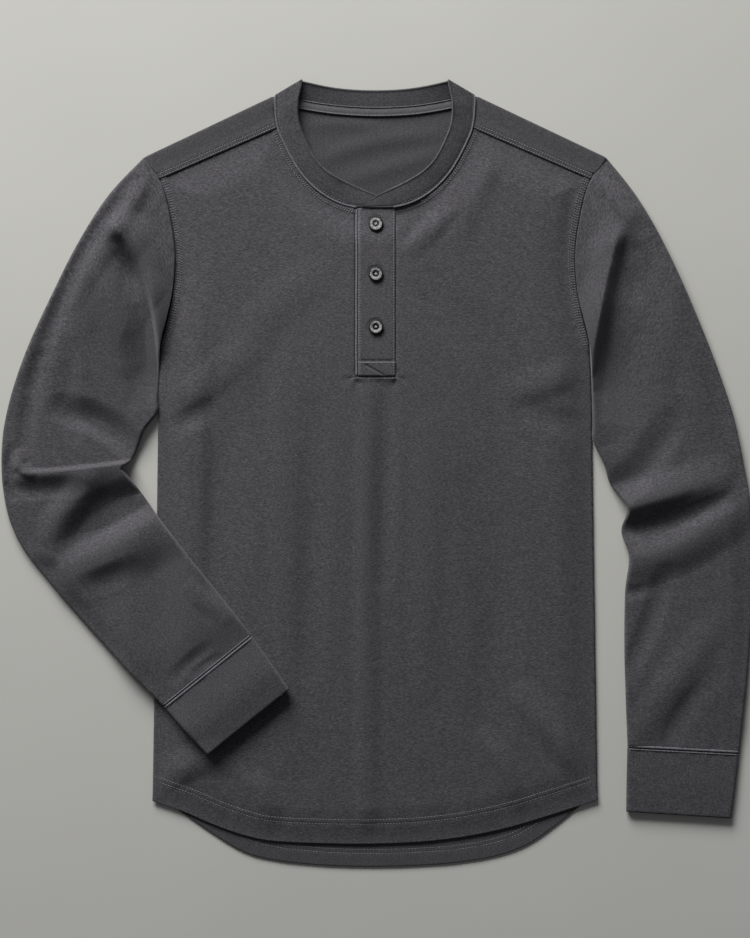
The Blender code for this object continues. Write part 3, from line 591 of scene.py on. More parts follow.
# ---------------------------------------------------------------- meshes
def add_piece(name, points, faces, finish, replaced=(), grain=None):
    """Makes a mesh piece from millimetre points, gives it its finish and rides it."""
    mesh = bpy.data.meshes.new(name)
    points = np.asarray(points, float)
    if isinstance(faces, list) and len({len(f) for f in faces}) > 1:
        mesh.from_pydata((points * MM).tolist(), [], faces)
    else:
        faces = np.asarray(faces, np.int32)
        count, sides = faces.shape
        mesh.vertices.add(len(points))
        mesh.vertices.foreach_set("co", (points * MM).astype(np.float32).ravel())
        mesh.loops.add(count * sides)
        mesh.loops.foreach_set("vertex_index", faces.ravel())
        mesh.polygons.add(count)
        mesh.polygons.foreach_set("loop_start", np.arange(count, dtype=np.int32) * sides)
        mesh.polygons.foreach_set("loop_total", np.full(count, sides, np.int32))
        mesh.update(calc_edges=True)
    mesh.validate()
    mesh.polygons.foreach_set("use_smooth", np.ones(len(mesh.polygons), bool))
    lie = points if grain is None else np.asarray(grain, float)
    if lie.shape[1] == 2:
        lie = np.column_stack([lie, points[:, 2]])
    layer = mesh.attributes.new("grain", "FLOAT_VECTOR", "POINT")
    layer.data.foreach_set("vector", (lie * MM).astype(np.float32).ravel())
    mesh.materials.append(finish)
    piece = bpy.data.objects.new(name, mesh)
    bpy.context.scene.collection.objects.link(piece)
    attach(piece, "root")
    if replaced:
        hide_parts(*replaced)
    return piece


def thicken(piece, thickness, offset=-1.0):
    """Gives a sheet its thickness, downwards from its upper face unless the offset differs."""
    change = piece.modifiers.new("thickness", "SOLIDIFY")
    change.thickness = thickness * MM
    change.offset = offset
    return piece


def filled(outline, rows, spacing, holes=()):
    """Flat points and triangles that fill an outline, closer together along the rows."""
    fixed = [outline] + list(holes)
    edges, start = [], 0
    for loop in fixed:
        edges += [(start + i, start + (i + 1) % len(loop)) for i in range(len(loop))]
        start += len(loop)
    extra = np.vstack(rows)
    extra = extra[inside(extra, outline)]
    away = nearest(extra, np.vstack([outline, outline[:1]]))[0]
    points = np.vstack(fixed + [extra[away > 0.3]])
    low, high = outline.min(0), outline.max(0)
    xs = np.arange(low[0] + spacing / 2, high[0], spacing)
    ys = np.arange(low[1] + spacing / 2, high[1], spacing * 0.9)
    grid = np.stack(np.meshgrid(xs, ys), axis=-1)
    grid[1::2, :, 0] += spacing / 2
    grid = grid.reshape(-1, 2)
    grid = grid[inside(grid, outline)]
    for hole in holes:
        grid = grid[~inside(grid, hole)]
    tree = KDTree(len(points))
    for index, (x, y) in enumerate(points):
        tree.insert((x, y, 0.0), index)
    tree.balance()
    kept = [p for p in grid if tree.find((p[0], p[1], 0.0))[2] > 0.62 * spacing]
    if kept:
        points = np.vstack([points, kept])
    flat, _, triangles, *_ = delaunay_2d_cdt([Vector(p) for p in points], edges, [], 1, 1e-5)
    flat = np.array([(p.x, p.y) for p in flat])
    triangles = np.array([tuple(t) for t in triangles], np.int32)
    centres = flat[triangles].mean(1)
    keep = inside(centres, outline)
    for hole in holes:
        keep &= ~inside(centres, hole)
    return flat, triangles[keep]


def rows_beside(line, distances, side, spacing):
    """Rows of points at each distance from the line: on its right, or its left if side is -1."""
    return [evenly(shifted(line, side * d), spacing) for d in distances]


def upright(x, y0, y1, spacing):
    """A row of points along the length of the shirt."""
    return evenly(np.array([(x, y0), (x, y1)]), spacing)


def crosswise(x0, x1, y, spacing):
    """A row of points across it."""
    return evenly(np.array([(x0, y), (x1, y)]), spacing)


def tube_faces(rows, size, closed):
    """Quads between rings of equal size; closed where the last point joins the first."""
    row, column = np.meshgrid(np.arange(rows - 1), np.arange(size if closed else size - 1),
                              indexing="ij")
    a = (row * size + column).ravel()
    b = (row * size + (column + 1) % size).ravel()
    return np.stack([a, b, b + size, a + size], axis=1)


def capped_tube(rows, size):
    """Faces of a closed tube with a face over each end."""
    last = (rows - 1) * size
    ends = [list(range(size))[::-1], list(range(last, last + size))]
    return tube_faces(rows, size, True).tolist() + ends


# ---------------------------------------------------------------- finishes
def new_finish(name):
    """A new material with its node tree and its shader."""
    finish = bpy.data.materials.new(name)
    finish.use_nodes = True
    return finish, finish.node_tree, finish.node_tree.nodes["Principled BSDF"]


def add_node(tree, kind, **values):
    """A new node with its settings, or the values of its sockets, by name."""
    node = tree.nodes.new(kind)
    for key, value in values.items():
        if hasattr(node, key):
            setattr(node, key, value)
        else:
            node.inputs[key.replace("_", " ")].default_value = value
    return node


def stretched_noise(tree, source, scale, detail, roughness):
    """Noise over the cloth's grain, stretched by a scale for each direction, per metre."""
    stretch = add_node(tree, "ShaderNodeVectorMath", operation="MULTIPLY")
    tree.links.new(source, stretch.inputs[0])
    stretch.inputs[1].default_value = scale
    noise = add_node(tree, "ShaderNodeTexNoise", Scale=1.0, Detail=detail, Roughness=roughness)
    tree.links.new(stretch.outputs[0], noise.inputs["Vector"])
    return noise.outputs["Fac"]


def ramp(tree, source, stops):
    """Colours for the places from 0 to 1 of a value."""
    node = tree.nodes.new("ShaderNodeValToRGB")
    bar = node.color_ramp.elements
    while len(bar) < len(stops):
        bar.new(0.5)
    for element, (place, colour) in zip(bar, stops):
        element.position = place
        element.color = colour
    tree.links.new(source, node.inputs["Fac"])
    return node.outputs["Color"]


def multiplied(tree, first, second):
    """The product of two colours."""
    mix = add_node(tree, "ShaderNodeMix", data_type="RGBA", blend_type="MULTIPLY")
    mix.inputs["Factor"].default_value = 1.0
    tree.links.new(first, mix.inputs["A"])
    tree.links.new(second, mix.inputs["B"])
    return mix.outputs["Result"]


def shaded(colour, factor):
    """The colour made that much lighter or darker."""
    return tuple(c * factor for c in colour[:3]) + (1.0,)


def knit_finish(name, colour, streak, contrast, sheen, bump):
    """Heather jersey: short streaks of lighter and darker yarn lying along the courses."""
    finish, tree, shader = new_finish(name)
    grain = add_node(tree, "ShaderNodeAttribute", attribute_name="grain").outputs["Vector"]
    streaks = stretched_noise(tree, grain, (1000 / streak[0], 1000 / streak[1], 60), 2.0, 0.7)
    clouds = stretched_noise(tree, grain, (90, 260, 60), 2.0, 0.5)
    yarn = ramp(tree, streaks, [
        (0.30, shaded(colour, 1 - 0.9 * contrast)), (0.47, shaded(colour, 1 - 0.15 * contrast)),
        (0.56, shaded(colour, 1 + 0.25 * contrast)), (0.72, shaded(colour, 1 + 1.5 * contrast))])
    tone = ramp(tree, clouds, [(0.3, (0.94, 0.94, 0.94, 1)), (0.7, (1.04, 1.04, 1.04, 1))])
    tree.links.new(multiplied(tree, yarn, tone), shader.inputs["Base Color"])
    stitches = stretched_noise(tree, grain, (1100, 900, 100), 2.0, 0.6)
    relief = add_node(tree, "ShaderNodeBump", Strength=bump, Distance=0.0006)
    tree.links.new(stitches, relief.inputs["Height"])
    tree.links.new(relief.outputs["Normal"], shader.inputs["Normal"])
    shader.inputs["Roughness"].default_value = 0.95
    shader.inputs["Specular IOR Level"].default_value = 0.15
    shader.inputs["Sheen Weight"].default_value = sheen
    shader.inputs["Sheen Roughness"].default_value = 0.5
    return finish


def thread_finish(name, colour):
    """Spun thread with a slight unevenness of tone."""
    finish, tree, shader = new_finish(name)
    grain = add_node(tree, "ShaderNodeAttribute", attribute_name="grain").outputs["Vector"]
    twist = stretched_noise(tree, grain, (900, 900, 900), 2.0, 0.6)
    tone = ramp(tree, twist, [(0.35, shaded(colour, 0.7)), (0.65, shaded(colour, 1.3))])
    tree.links.new(tone, shader.inputs["Base Color"])
    shader.inputs["Roughness"].default_value = 0.7
    shader.inputs["Sheen Weight"].default_value = 0.2
    return finish


def horn_finish(name, colour):
    """Grey horn under a half gloss, lighter on the ring; the well and the edge are drawn dark as
    painted shade, the edge partly its own dark rim.
    """
    finish, tree, shader = new_finish(name)
    grain = add_node(tree, "ShaderNodeAttribute", attribute_name="grain").outputs["Vector"]
    swirls = stretched_noise(tree, grain, (420, 620, 200), 4.0, 0.6)
    tone = ramp(tree, swirls, [(0.34, shaded(colour, 0.3)), (0.5, shaded(colour, 1.0)),
                               (0.64, shaded(colour, 1.6))])
    radius = add_node(tree, "ShaderNodeAttribute", attribute_name="ring").outputs["Fac"]
    # Painted shade: half dark in the middle of the well and near black round its holes, and near
    # black at the edge, where painted shadow of the gap under the button joins its own dark rim.
    dark, light = (0.05, 0.05, 0.05, 1), (1, 1, 1, 1)
    depth = ramp(tree, radius, [(0.15, (0.5, 0.5, 0.5, 1)), (0.20, dark), (0.38, dark),
                                (0.43, light), (0.725, light), (0.76, dark)])
    tree.links.new(multiplied(tree, tone, depth), shader.inputs["Base Color"])
    pits = stretched_noise(tree, grain, (1500, 1500, 1500), 2.0, 0.5)
    gloss = add_node(tree, "ShaderNodeMapRange", To_Min=0.4, To_Max=0.6)
    tree.links.new(pits, gloss.inputs["Value"])
    tree.links.new(gloss.outputs["Result"], shader.inputs["Roughness"])
    shader.inputs["Specular IOR Level"].default_value = 0.12
    return finish


def floor_finish(name, colour):
    """A plain matt floor with the faintest mottle."""
    finish, tree, shader = new_finish(name)
    place = add_node(tree, "ShaderNodeTexCoord").outputs["Object"]
    mottle = stretched_noise(tree, place, (3, 3, 3), 3.0, 0.5)
    tone = ramp(tree, mottle, [(0.3, shaded(colour, 0.97)), (0.7, shaded(colour, 1.02))])
    tree.links.new(tone, shader.inputs["Base Color"])
    shader.inputs["Roughness"].default_value = 0.9
    shader.inputs["Specular IOR Level"].default_value = 0.2
    return finish


# Knits: the name of the finish, how light it is drawn (for some a painted shade or a painted
# highlight, marked below), how long and how marked its streaks are against the jersey's, and the
# relief of its stitches.
Knit = namedtuple("Knit", "name tone streak contrast bump")
KNITS = {
    "jersey": Knit("heather jersey", 1.0, 1.0, 1.0, 0.25),
    # Painted shade: the back's cloth is drawn 0.88 as light as the jersey all over; its lower
    # contrast and deeper relief are the inside face of the knit.
    "inside": Knit("heather jersey inside", 0.88, 1.0, 0.8, 0.35),
    # Painted shade: the neckband and cuffs are drawn 0.9 as light as the jersey.
    "rib": Knit("heather neckband", 0.9, 0.7, 1.1, 0.25),
    # A copy of the jersey 2.7 times as light: the tone of the armhole and neck stitches, and a
    # painted highlight on the fold of the lower placket.
    "seam": Knit("heather seam thread and fold highlight", 2.7, 0.5, 1.0, 0.25),
    # Painted highlight: the rolls of cloth along seams, folds and edges are drawn 1.9 times as
    # light as the jersey.
    "highlight_roll": Knit("heather seam rolls painted highlight", 1.9, 0.5, 1.0, 0.25),
}


def make_finish(kind):
    """A new finish of that kind, from the panel's settings."""
    cloth = bpy.context.scene.henley_cloth
    trim = bpy.context.scene.henley_trim
    if kind in KNITS:
        knit = KNITS[kind]
        streak = (cloth.streak_length / MM * knit.streak, cloth.streak_height / MM)
        return knit_finish(knit.name, shaded(cloth.colour, knit.tone), streak,
                           cloth.contrast * knit.contrast, cloth.sheen, knit.bump)
    if kind == "tape":
        return knit_finish("twill tape", trim.tape_colour, (0.9, 1.6), 0.25, 0.1, 0.4)
    if kind == "thread":
        return thread_finish("sewing thread", trim.thread_colour)
    if kind == "button_thread":
        return thread_finish("button thread", shaded(trim.button_colour, 1.6))
    return horn_finish("grey horn", trim.button_colour)


_made = {}


def finish_of(kind):
    """The finish of that kind, made once."""
    if kind not in _made:
        _made[kind] = make_finish(kind)
    return _made[kind]


# ---------------------------------------------------------------- sewing
STITCH_RINGS = ((-0.7, 0.8), (0.0, 1.0), (0.7, 0.8))    # along one stitch, and how thick there
STITCH_SIDES = 5

# Kinds of stitches: their pitch, length and girth, the angle they lie at and their lift.
Stitch = namedtuple("Stitch", "pitch length girth turn lift", defaults=(0.0, 0.0))
HEM_STITCH = Stitch(3.0, 2.2, 0.6, lift=0.05)
BACK_HEM_STITCH = Stitch(3.0, 2.2, 0.6)
SEAM_STITCH = Stitch(2.6, 1.8, 0.8, lift=0.35)
ARMHOLE_COVER = Stitch(2.6, 4.4, 0.6, turn=1.2, lift=0.25)
NECK_COVER = Stitch(2.4, 2.6, 0.6, turn=1.1, lift=0.25)
BAND_STITCH = Stitch(2.8, 1.4, 0.7)
SHOULDER_STITCH = Stitch(2.8, 2.0, 0.85, lift=0.05)
PLACKET_STITCH = Stitch(2.7, 1.9, 0.8, lift=0.04)
TAPE_STITCH = Stitch(2.6, 1.9, 0.8)
BUTTON_STITCH = Stitch(9.0, 4.1, 0.5)


def stitch_form():
    """Points of one stitch, a unit long and a unit round, and its triangles."""
    points, faces = [(-1.0, 0.0, 0.0)], []
    for along, swell in STITCH_RINGS:
        for i in range(STITCH_SIDES):
            turn = math.tau * i / STITCH_SIDES
            points.append((along, swell * math.cos(turn), swell * math.sin(turn)))
    points.append((1.0, 0.0, 0.0))
    last = len(points) - 1
    for i in range(STITCH_SIDES):
        j = (i + 1) % STITCH_SIDES
        faces.append((0, 1 + j, 1 + i))
        for ring in range(len(STITCH_RINGS) - 1):
            a, b = 1 + ring * STITCH_SIDES, 1 + (ring + 1) * STITCH_SIDES
            faces += [(a + i, a + j, b + j), (a + i, b + j, b + i)]
        top = last - STITCH_SIDES
        faces.append((last, top + i, top + j))
    return np.array(points), np.array(faces, np.int32)


def stitched(line, height, stitch, seed):
    """Stitches along a line: their points and triangles."""
    line = evenly(line, stitch.pitch)
    centres = (line[1:, :2] + line[:-1, :2]) / 2
    run = tangents(line)
    run = (run[1:] + run[:-1]) / 2
    run /= np.hypot(*run.T)[:, None]
    rng = np.random.default_rng(seed)
    angle = stitch.turn + rng.normal(0.0, 0.08, len(run))
    along = np.stack([run[:, 0] * np.cos(angle) - run[:, 1] * np.sin(angle),
                      run[:, 0] * np.sin(angle) + run[:, 1] * np.cos(angle)], axis=1)
    half = stitch.length / 2 * (1 + rng.normal(0.0, 0.08, len(run)))
    ends = height(centres + along * half[:, None]), height(centres - along * half[:, None])
    slope = (ends[0] - ends[1]) / (2 * half)
    form, faces = stitch_form()
    ahead = np.column_stack([along, slope])
    ahead /= np.linalg.norm(ahead, axis=1)[:, None]
    across = np.column_stack([-along[:, 1], along[:, 0], np.zeros(len(run))])
    up = np.cross(ahead, across)
    middle = np.column_stack([centres, (ends[0] + ends[1]) / 2 + stitch.lift])
    points = (middle[:, None, :]
              + form[None, :, :1] * (half[:, None] * ahead)[:, None, :]
              + form[None, :, 1:2] * stitch.girth / 2 * across[:, None, :]
              + form[None, :, 2:] * stitch.girth / 2 * up[:, None, :])
    count = len(form)
    faces = faces[None] + (np.arange(len(run)) * count)[:, None, None]
    return points.reshape(-1, 3), faces.reshape(-1, 3)


def sew(name, rows, finish):
    """Joins the stitches of several rows into one piece."""
    points, faces, start = [], [], 0
    for row_points, row_faces in rows:
        points.append(row_points)
        faces.append(row_faces + start)
        start += len(row_points)
    return add_piece(name, np.vstack(points), np.vstack(faces), finish)


def cord(name, line, height, radius, finish, twist=3.0, sides=10):
    """A raised line of cloth or thread along a seam."""
    line = evenly(line, 1.0)
    centre = np.column_stack([line[:, :2], height(line[:, :2])])
    run = tangents(line)
    across = np.column_stack([run[:, 1], -run[:, 0], np.zeros(len(run))])
    swell = radius * (1 + 0.12 * np.sin(measure(line) * math.tau / twist))
    taper = ease(np.minimum(np.arange(len(line)), len(line) - 1 - np.arange(len(line))) / 2.0)
    swell = swell * (0.15 + 0.85 * taper)
    turn = np.arange(sides) * math.tau / sides
    rings = (centre[:, None, :]
             + swell[:, None, None] * (np.cos(turn)[None, :, None] * across[:, None, :]
                                       + np.sin(turn)[None, :, None] * np.array([0, 0, 1.0])))
    return add_piece(name, rings.reshape(-1, 3), capped_tube(len(line), sides), finish)


# ---------------------------------------------------------------- back
def bend_frame(side):
    """A point on the line that the back folds over at a shoulder, and the way outward from it."""
    run = (SHOULDER_TIP - SHOULDER_NECK) / np.hypot(*(SHOULDER_TIP - SHOULDER_NECK))
    return SHOULDER_NECK * (side, 1.0), np.array((side * -run[1], run[0]))


def spread(points, side=1.0):
    """Flat-pattern place of points of the shoulder wrap, given where they lie on the front."""
    base, outward = bend_frame(side)
    beyond = (points - base) @ outward
    return points + outward * (-2.0 * beyond + (math.pi - 2.0) * SHOULDER_BEND)[:, None]


def wrapped(points, lift):
    """Place of flat-pattern points of the back, lift above mid-cloth on the outer face."""
    result = np.column_stack([points, np.full(len(points), SHOULDER_MID) + lift])
    for side in SIDES:
        base, outward = bend_frame(side)
        arc = (points - base) @ outward + SHOULDER_BEND
        over = np.flatnonzero((arc > 0) & (points[:, 0] * side > 0))
        turn = np.clip(arc[over] / SHOULDER_BEND, 0.0, math.pi)
        past = np.clip(arc[over] - math.pi * SHOULDER_BEND, 0.0, None)
        radius = SHOULDER_BEND - lift[over]
        move = radius * np.sin(turn) - arc[over] - past
        result[over, :2] = points[over] + outward * move[:, None]
        result[over, 2] = SHOULDER_MID + SHOULDER_BEND - radius * np.cos(turn)
    return result


def flap_lift(points):
    """How far the outer face of the shoulder wrap stands up along its forward seam."""
    lift = np.zeros(len(points))
    for side in SIDES:
        near = points[:, 0] * side > 0
        seam = spread(evenly(FORWARD_SEAM, 10.0) * (side, 1.0), side)
        away, along, _ = nearest(points[near], seam)
        base, outward = bend_frame(side)
        arc = (points[near] - base) @ outward
        raised = 0.7 * (1 - ease((away - 6.0) / 4.0))
        for row in SHOULDER_ROWS:
            raised += groove(away, row, 0.3, 0.7)
        ripple = unevenness(along, 6.0, 51) * 0.12 + unevenness(along, 17.0, 52) * 0.2
        raised += ripple * np.exp(-(away / 12.0) ** 2)
        lift[near] = np.where(arc > 3.0, raised, 0.0)
    return lift


def back_outline(spacing):
    """Flat pattern of the back, with the flaps that wrap forward over the shoulders."""
    neck = shifted(neck_seam(1.0), -SEAM_GAP)
    neck = neck[neck[:, 1] >= FORWARD_SEAM[0][1]]
    base, outward = bend_frame(1.0)
    run = np.array((outward[1], -outward[0]))
    start = base + run * SEAM_GAP - outward * SHOULDER_BEND
    tip = SHOULDER_TIP - outward * SHOULDER_BEND
    past = outward * math.pi * SHOULDER_BEND
    lines = [shifted(back_neck_seam(), -SEAM_GAP)[::-1],
             np.array([start, start + past]), spread(neck),
             spread(np.array(FORWARD_SEAM)), np.array([tip + past, tip]),
             through(ARMHOLE, 8), through(SIDE, 8)]
    left = joined(lines, spacing)
    hem = evenly(BACK_HEM_LINE[::-1], spacing)
    return np.vstack([left[:-1], hem, mirrored(left)[::-1][1:-1]])


def back_rows():
    """Rows of points where the back needs them: its hem, its folds and its forward seams."""
    rows = rows_beside(BACK_HEM_LINE, BACK_HEM_POINTS, -1, 3.0)
    for side in SIDES:
        base, outward = bend_frame(side)
        run = (SHOULDER_TIP - SHOULDER_NECK) * (side, 1.0)
        for step in range(9):
            beyond = outward * SHOULDER_BEND * (math.pi * step / 8 - 1.0)
            rows.append(evenly(np.array([base + beyond, base + run + beyond]), 4.0))
        seam = spread(evenly(FORWARD_SEAM, 3.0) * (side, 1.0), side)
        rows += [seam - outward * d for d in SHOULDER_POINTS]
    return rows


def build_back():
    flat, triangles = filled(back_outline(3.0), back_rows(), 5.5)
    hem = hem_relief(flat, BACK_HEM_LINE, BACK_HEM_ROWS) * 0.7
    lift = np.where(flat[:, 1] < -250, np.maximum(hem, 0.0), -flap_lift(flat))
    points = wrapped(flat, lift + folds_at(flat, BACK_FOLDS))
    # its finish is the jersey drawn darker, a painted shade
    piece = add_piece("back_cloth", points, triangles, finish_of("inside"), ["back_panel"],
                      grain=flat)
    thicken(piece, CLOTH, 0.0)
    build_tape()


def flap_top(side):
    """Height function of the upper face of the shoulder wrap."""
    def height(points):
        pattern = spread(points, side)
        return wrapped(pattern, -flap_lift(pattern) - CLOTH / 2)[:, 2]
    return height


# ---------------------------------------------------------------- front
def slot_line(spacing):
    """Edge of the slot for the placket, down its right side and up its left."""
    top, foot = PLACKET_TOP + 3 * SEAM_GAP, PLACKET_FOOT - SEAM_GAP
    corners = [(NOTCH_RIGHT, top), (NOTCH_RIGHT, foot), (NOTCH_LEFT, foot), (NOTCH_LEFT, top)]
    return joined([np.array(pair) for pair in zip(corners, corners[1:])], spacing)


def front_rows():
    """Rows of points where the front needs them: its hem, seams, edges and slot."""
    rows = rows_beside(HEM_LINE, HEM_POINTS, -1, 2.5)
    for side in SIDES:
        rows += rows_beside(through(ARMHOLE[1:], 8) * (side, 1.0), ARMHOLE_POINTS, side, 2.5)
        rows += rows_beside(through(SIDE, 8) * (side, 1.0), SIDE_POINTS, side, 3.0)
        rows += rows_beside(neck_seam(side), NECK_POINTS, -side, 2.2)
        rows += [upright(PLACKET_MID + side * (21.8 + d), PLACKET_FOOT - 6, PLACKET_TOP, 3.0)
                 for d in SLOT_POINTS]
    return rows + [crosswise(-30.0, 32.0, PLACKET_FOOT - d, 2.0) for d in FOOT_POINTS]


def build_front():
    outline = np.vstack([slot_line(2.5), front_outline(2.5)])
    flat, triangles = filled(outline, front_rows(), 2.9)
    points = np.column_stack([flat, front_top(flat)])
    piece = add_piece("front_cloth", points, triangles, finish_of("jersey"), ["front_panel"],
                      grain=flat)
    thicken(piece, CLOTH)


# ---------------------------------------------------------------- sleeves and cuffs
def tube_sections(sections, step):
    """Sections a step apart along the outer edge, their places on it, 0 to 1, and its length."""
    rows = through(sections, 24)
    outer = measure(rows[:, :2])
    even = np.linspace(0, 1, len(rows))
    at = np.linspace(0, outer[-1], max(4, round(outer[-1] / step)))
    share = np.interp(at, outer, even)
    rows = np.stack([np.interp(share, even, column) for column in rows.T], axis=1)
    return rows, share, outer[-1]


def ring_places(width, spacing):
    """How far across each section the points of its ring lie, over the top and back underneath."""
    span = width.max() - 2 * EDGE_ROUND
    wide, inner = width[:, None], (width - 2 * EDGE_ROUND)[:, None]
    edge = EDGE_ROUND * (1 - np.cos(np.linspace(0, math.pi / 2, EDGE_POINTS)))
    first = np.broadcast_to(edge, (len(width), EDGE_POINTS))
    over = np.linspace(0, 1, round(span / spacing))[1:-1]
    under = np.linspace(1, 0, round(span / UNDER_SPACING))[1:-1]
    across = np.concatenate([
        first, EDGE_ROUND + inner * over, wide - edge[::-1],
        wide - edge[1:], EDGE_ROUND + inner * under, first[:, :0:-1]], axis=1)
    return across, np.arange(across.shape[1]) < 2 * EDGE_POINTS + len(over)


def follow_armhole(flat, across, share, armhole):
    """The first rings of a sleeve bent from straight across to the line of its armhole."""
    line = evenly(armhole, 4.0)
    along = measure(line) / measure(line)[-1]
    chord = line[0] + (line[-1] - line[0]) * across[..., None]
    curve = np.stack([np.interp(across, along, column) for column in line.T], axis=-1)
    return flat + (curve - chord) * (1 - ease(share / 0.35))[:, None, None]


def raise_turned(points, faces, upper, thickness):
    """Lifts the underside where its faces turn over, so that its cloth stays above the rest."""
    corners = points[faces, :2]
    one, other = corners[:, 2] - corners[:, 0], corners[:, 3] - corners[:, 1]
    turned = one[:, 0] * other[:, 1] - one[:, 1] * other[:, 0] > 0
    turned &= ~upper[faces].any(axis=1)
    points[np.unique(faces[turned]), 2] += thickness


def flat_tube(name, sections, height, rest, folds, thickness, finish, replaced, ripple,
              spacing=2.7, armhole=None):
    """A flattened tube of cloth through the sections, with its folds."""
    rows, share, length = tube_sections(sections, 1.6)
    near, far = rows[:, None, :2], rows[:, None, 2:]
    width = np.hypot(*(far - near)[:, 0].T)
    across, upper = ring_places(width, spacing)
    share_across = across / width[:, None]
    flat = near + (far - near) * share_across[..., None]
    if armhole is not None:
        flat = follow_armhole(flat, share_across, share, armhole)
    places = flat.reshape(-1, 2)
    bends = folds_at(places, folds) * bpy.context.scene.henley_cloth.fold_strength
    lift = height(share)[:, None] + bends.reshape(across.shape)
    lift = lift + ripple(share * length, share_across, length)
    lift = np.maximum(lift, 2 * thickness + SEAM_GAP)
    from_edge = np.minimum(across, width[:, None] - across) / EDGE_ROUND
    swell = np.sqrt(np.clip(1 - (1 - np.clip(from_edge, 0, 1)) ** 2, 0, 1))
    z = rest(places).reshape(across.shape) + lift / 2 * (1 + np.where(upper, swell, -swell))
    points = np.concatenate([flat, z[..., None]], axis=2).reshape(-1, 3)
    middle = np.repeat(measure(flat.mean(1))[:, None], across.shape[1], axis=1)
    grain = np.stack([across, middle], axis=-1).reshape(-1, 2)
    faces = tube_faces(len(rows), across.shape[1], True)
    (wide_x, wide_y), (run_x, run_y) = rows[0, 2:] - rows[0, :2], rows[-1, :2] - rows[0, :2]
    if wide_x * run_y - wide_y * run_x < 0:
        faces = faces[:, ::-1]
    raise_turned(points, faces, np.tile(upper, len(rows)), thickness)
    return thicken(add_piece(name, points, faces, finish, replaced, grain=grain), thickness)


def sleeve_height(share):
    """Height along a sleeve, from 0 at its armhole to 1 at its cuff."""
    body = ARMHOLE_LOFT + (SLEEVE_LOFT - ARMHOLE_LOFT) * ease(share / 0.16)
    return body + (CUFF_SEAM_LOFT - SLEEVE_LOFT) * ease((share - 0.9) / 0.1)


def sleeve_ripple(seed):
    """Small ease along the armhole and the cuff, where more cloth is sewn into less."""
    def ripple(along, across, length):
        along = along[:, None]
        head = unevenness(across * 190, 7.0, seed) * np.exp(-(along / 16.0) ** 2)
        head = head * 0.3 - 0.5 * np.exp(-(along / 1.6) ** 2)
        foot = unevenness(across * 110, 8.0, seed + 1) * np.exp(-((length - along) / 16.0) ** 2)
        return head + foot * 0.45 - 0.5 * np.exp(-((length - along) / 1.6) ** 2)
    return ripple


def build_sleeves():
    armhole = through(ARMHOLE, 8)
    for name, sections, folds, rest, curve, seed, length, area, rests_on in (
            ("right", SLEEVE_RIGHT, SLEEVE_RIGHT_FOLDS, sleeve_rest, mirrored(armhole), 61,
             0.64, 0.138, ["floor", "front_cloth"]),
            ("left", SLEEVE_LEFT, SLEEVE_LEFT_FOLDS, level(0.0), armhole, 71,
             0.63, 0.140, ["floor"])):
        piece = flat_tube(f"sleeve_{name}_cloth", sections, sleeve_height, rest, folds, CLOTH,
                          finish_of("jersey"), [f"sleeve_{name}"], sleeve_ripple(seed),
                          armhole=curve)
        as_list(rests_on)


def cuff_height(gape):
    """Height along a cuff that stands open by that much and dips again at its mouth."""
    def height(share):
        return CUFF_LOFT + gape * ease(share / 0.7) - 0.4 * gape * ease((share - 0.35) / 0.65)
    return height


def cuff_ripple(seed):
    """Slight waves beside a cuff's seam, and the edge drawn in at both ends."""
    def ripple(along, across, length):
        along = along[:, None]
        seam = np.exp(-(along / 1.4) ** 2) + np.exp(-((length - along) / 1.2) ** 2) * 0.7
        wave = unevenness(across * 110, 9.0, seed) * np.exp(-((along - 6.0) / 9.0) ** 2) * 0.3
        return wave - seam * 0.5
    return ripple


def build_cuffs():
    for name, sections, rest, rests_on, seed in (
            ("right", CUFF_RIGHT, sleeve_rest, ["front_cloth"], 81),
            ("left", CUFF_LEFT, level(0.0), ["floor"], 91)):
        # the rib finish is drawn darker than the jersey: painted shade
        piece = flat_tube(f"cuff_{name}_cloth", sections, cuff_height(CUFF_GAPES[name]), rest,
                          [], CUFF, finish_of("rib"), [f"cuff_{name}"], cuff_ripple(seed),
                          spacing=2.0)
        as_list(rests_on)


# ---------------------------------------------------------------- neckband and tape
def front_half():
    """Rows of the neckband from its upper end to the wearer's left shoulder."""
    return through(BAND_OVER_END + BAND_SIDE, BAND_STEPS)


def band_rows():
    """Rows all the way round the neckband, from its upper end to its lower end."""
    fold, far_fold = band_fold(1.0, BEND_STEPS), band_fold(-1.0, BEND_STEPS)
    back = fold[-1:] + BAND_BACK + [BAND_CENTRE] + other_side(BAND_BACK[::-1]) + far_fold[-1:]
    lower = through(BAND_UNDER_END + other_side(BAND_SIDE), BAND_STEPS)
    return np.vstack([front_half(), np.array(fold[:-1]), through(back, BAND_STEPS),
                      np.array(far_fold[-2::-1]), lower[::-1]])


def band_stand(rows):
    """How far the free edge of the neckband stands up at each row, most at its corners."""
    aside, up, mid = np.abs(rows[:, 2]), rows[:, 3], rows[:, 4]
    sides = BAND_STAND * ease((up - STAND_Y) / STAND_RUN) * ease((mid - LAP_MID) / LAP_RUN)
    corners = CORNER_STAND * (0.3 + 0.7 * np.clip(aside / CORNER_X, 0, 1) ** 2)
    turn = ease((up - CORNER_Y) / CORNER_RUN)
    return sides * (1 - turn) + corners * turn


def band_profile():
    """Places across the neckband, 0 at its seam and 1 at its free edge, and half its thickness."""
    place = np.concatenate([[0, 0.03, 0.07, 0.10, 0.13], np.linspace(0.17, 0.84, 9),
                            [0.88, 0.91, 0.935, 0.957, 0.975, 0.99, 0.998, 1.0]])
    swell = 0.72 + 0.35 * np.sin(place * math.pi) - 0.4 * np.exp(-((place - 0.10) / 0.03) ** 2)
    swell += 0.55 * np.exp(-((place - 0.95) / 0.045) ** 2)
    swell *= np.sqrt(np.clip(1 - np.clip((place - 0.955) / 0.045, 0, 1) ** 2, 0, 1))
    swell[0] *= 0.7
    return place, swell * BAND / 2


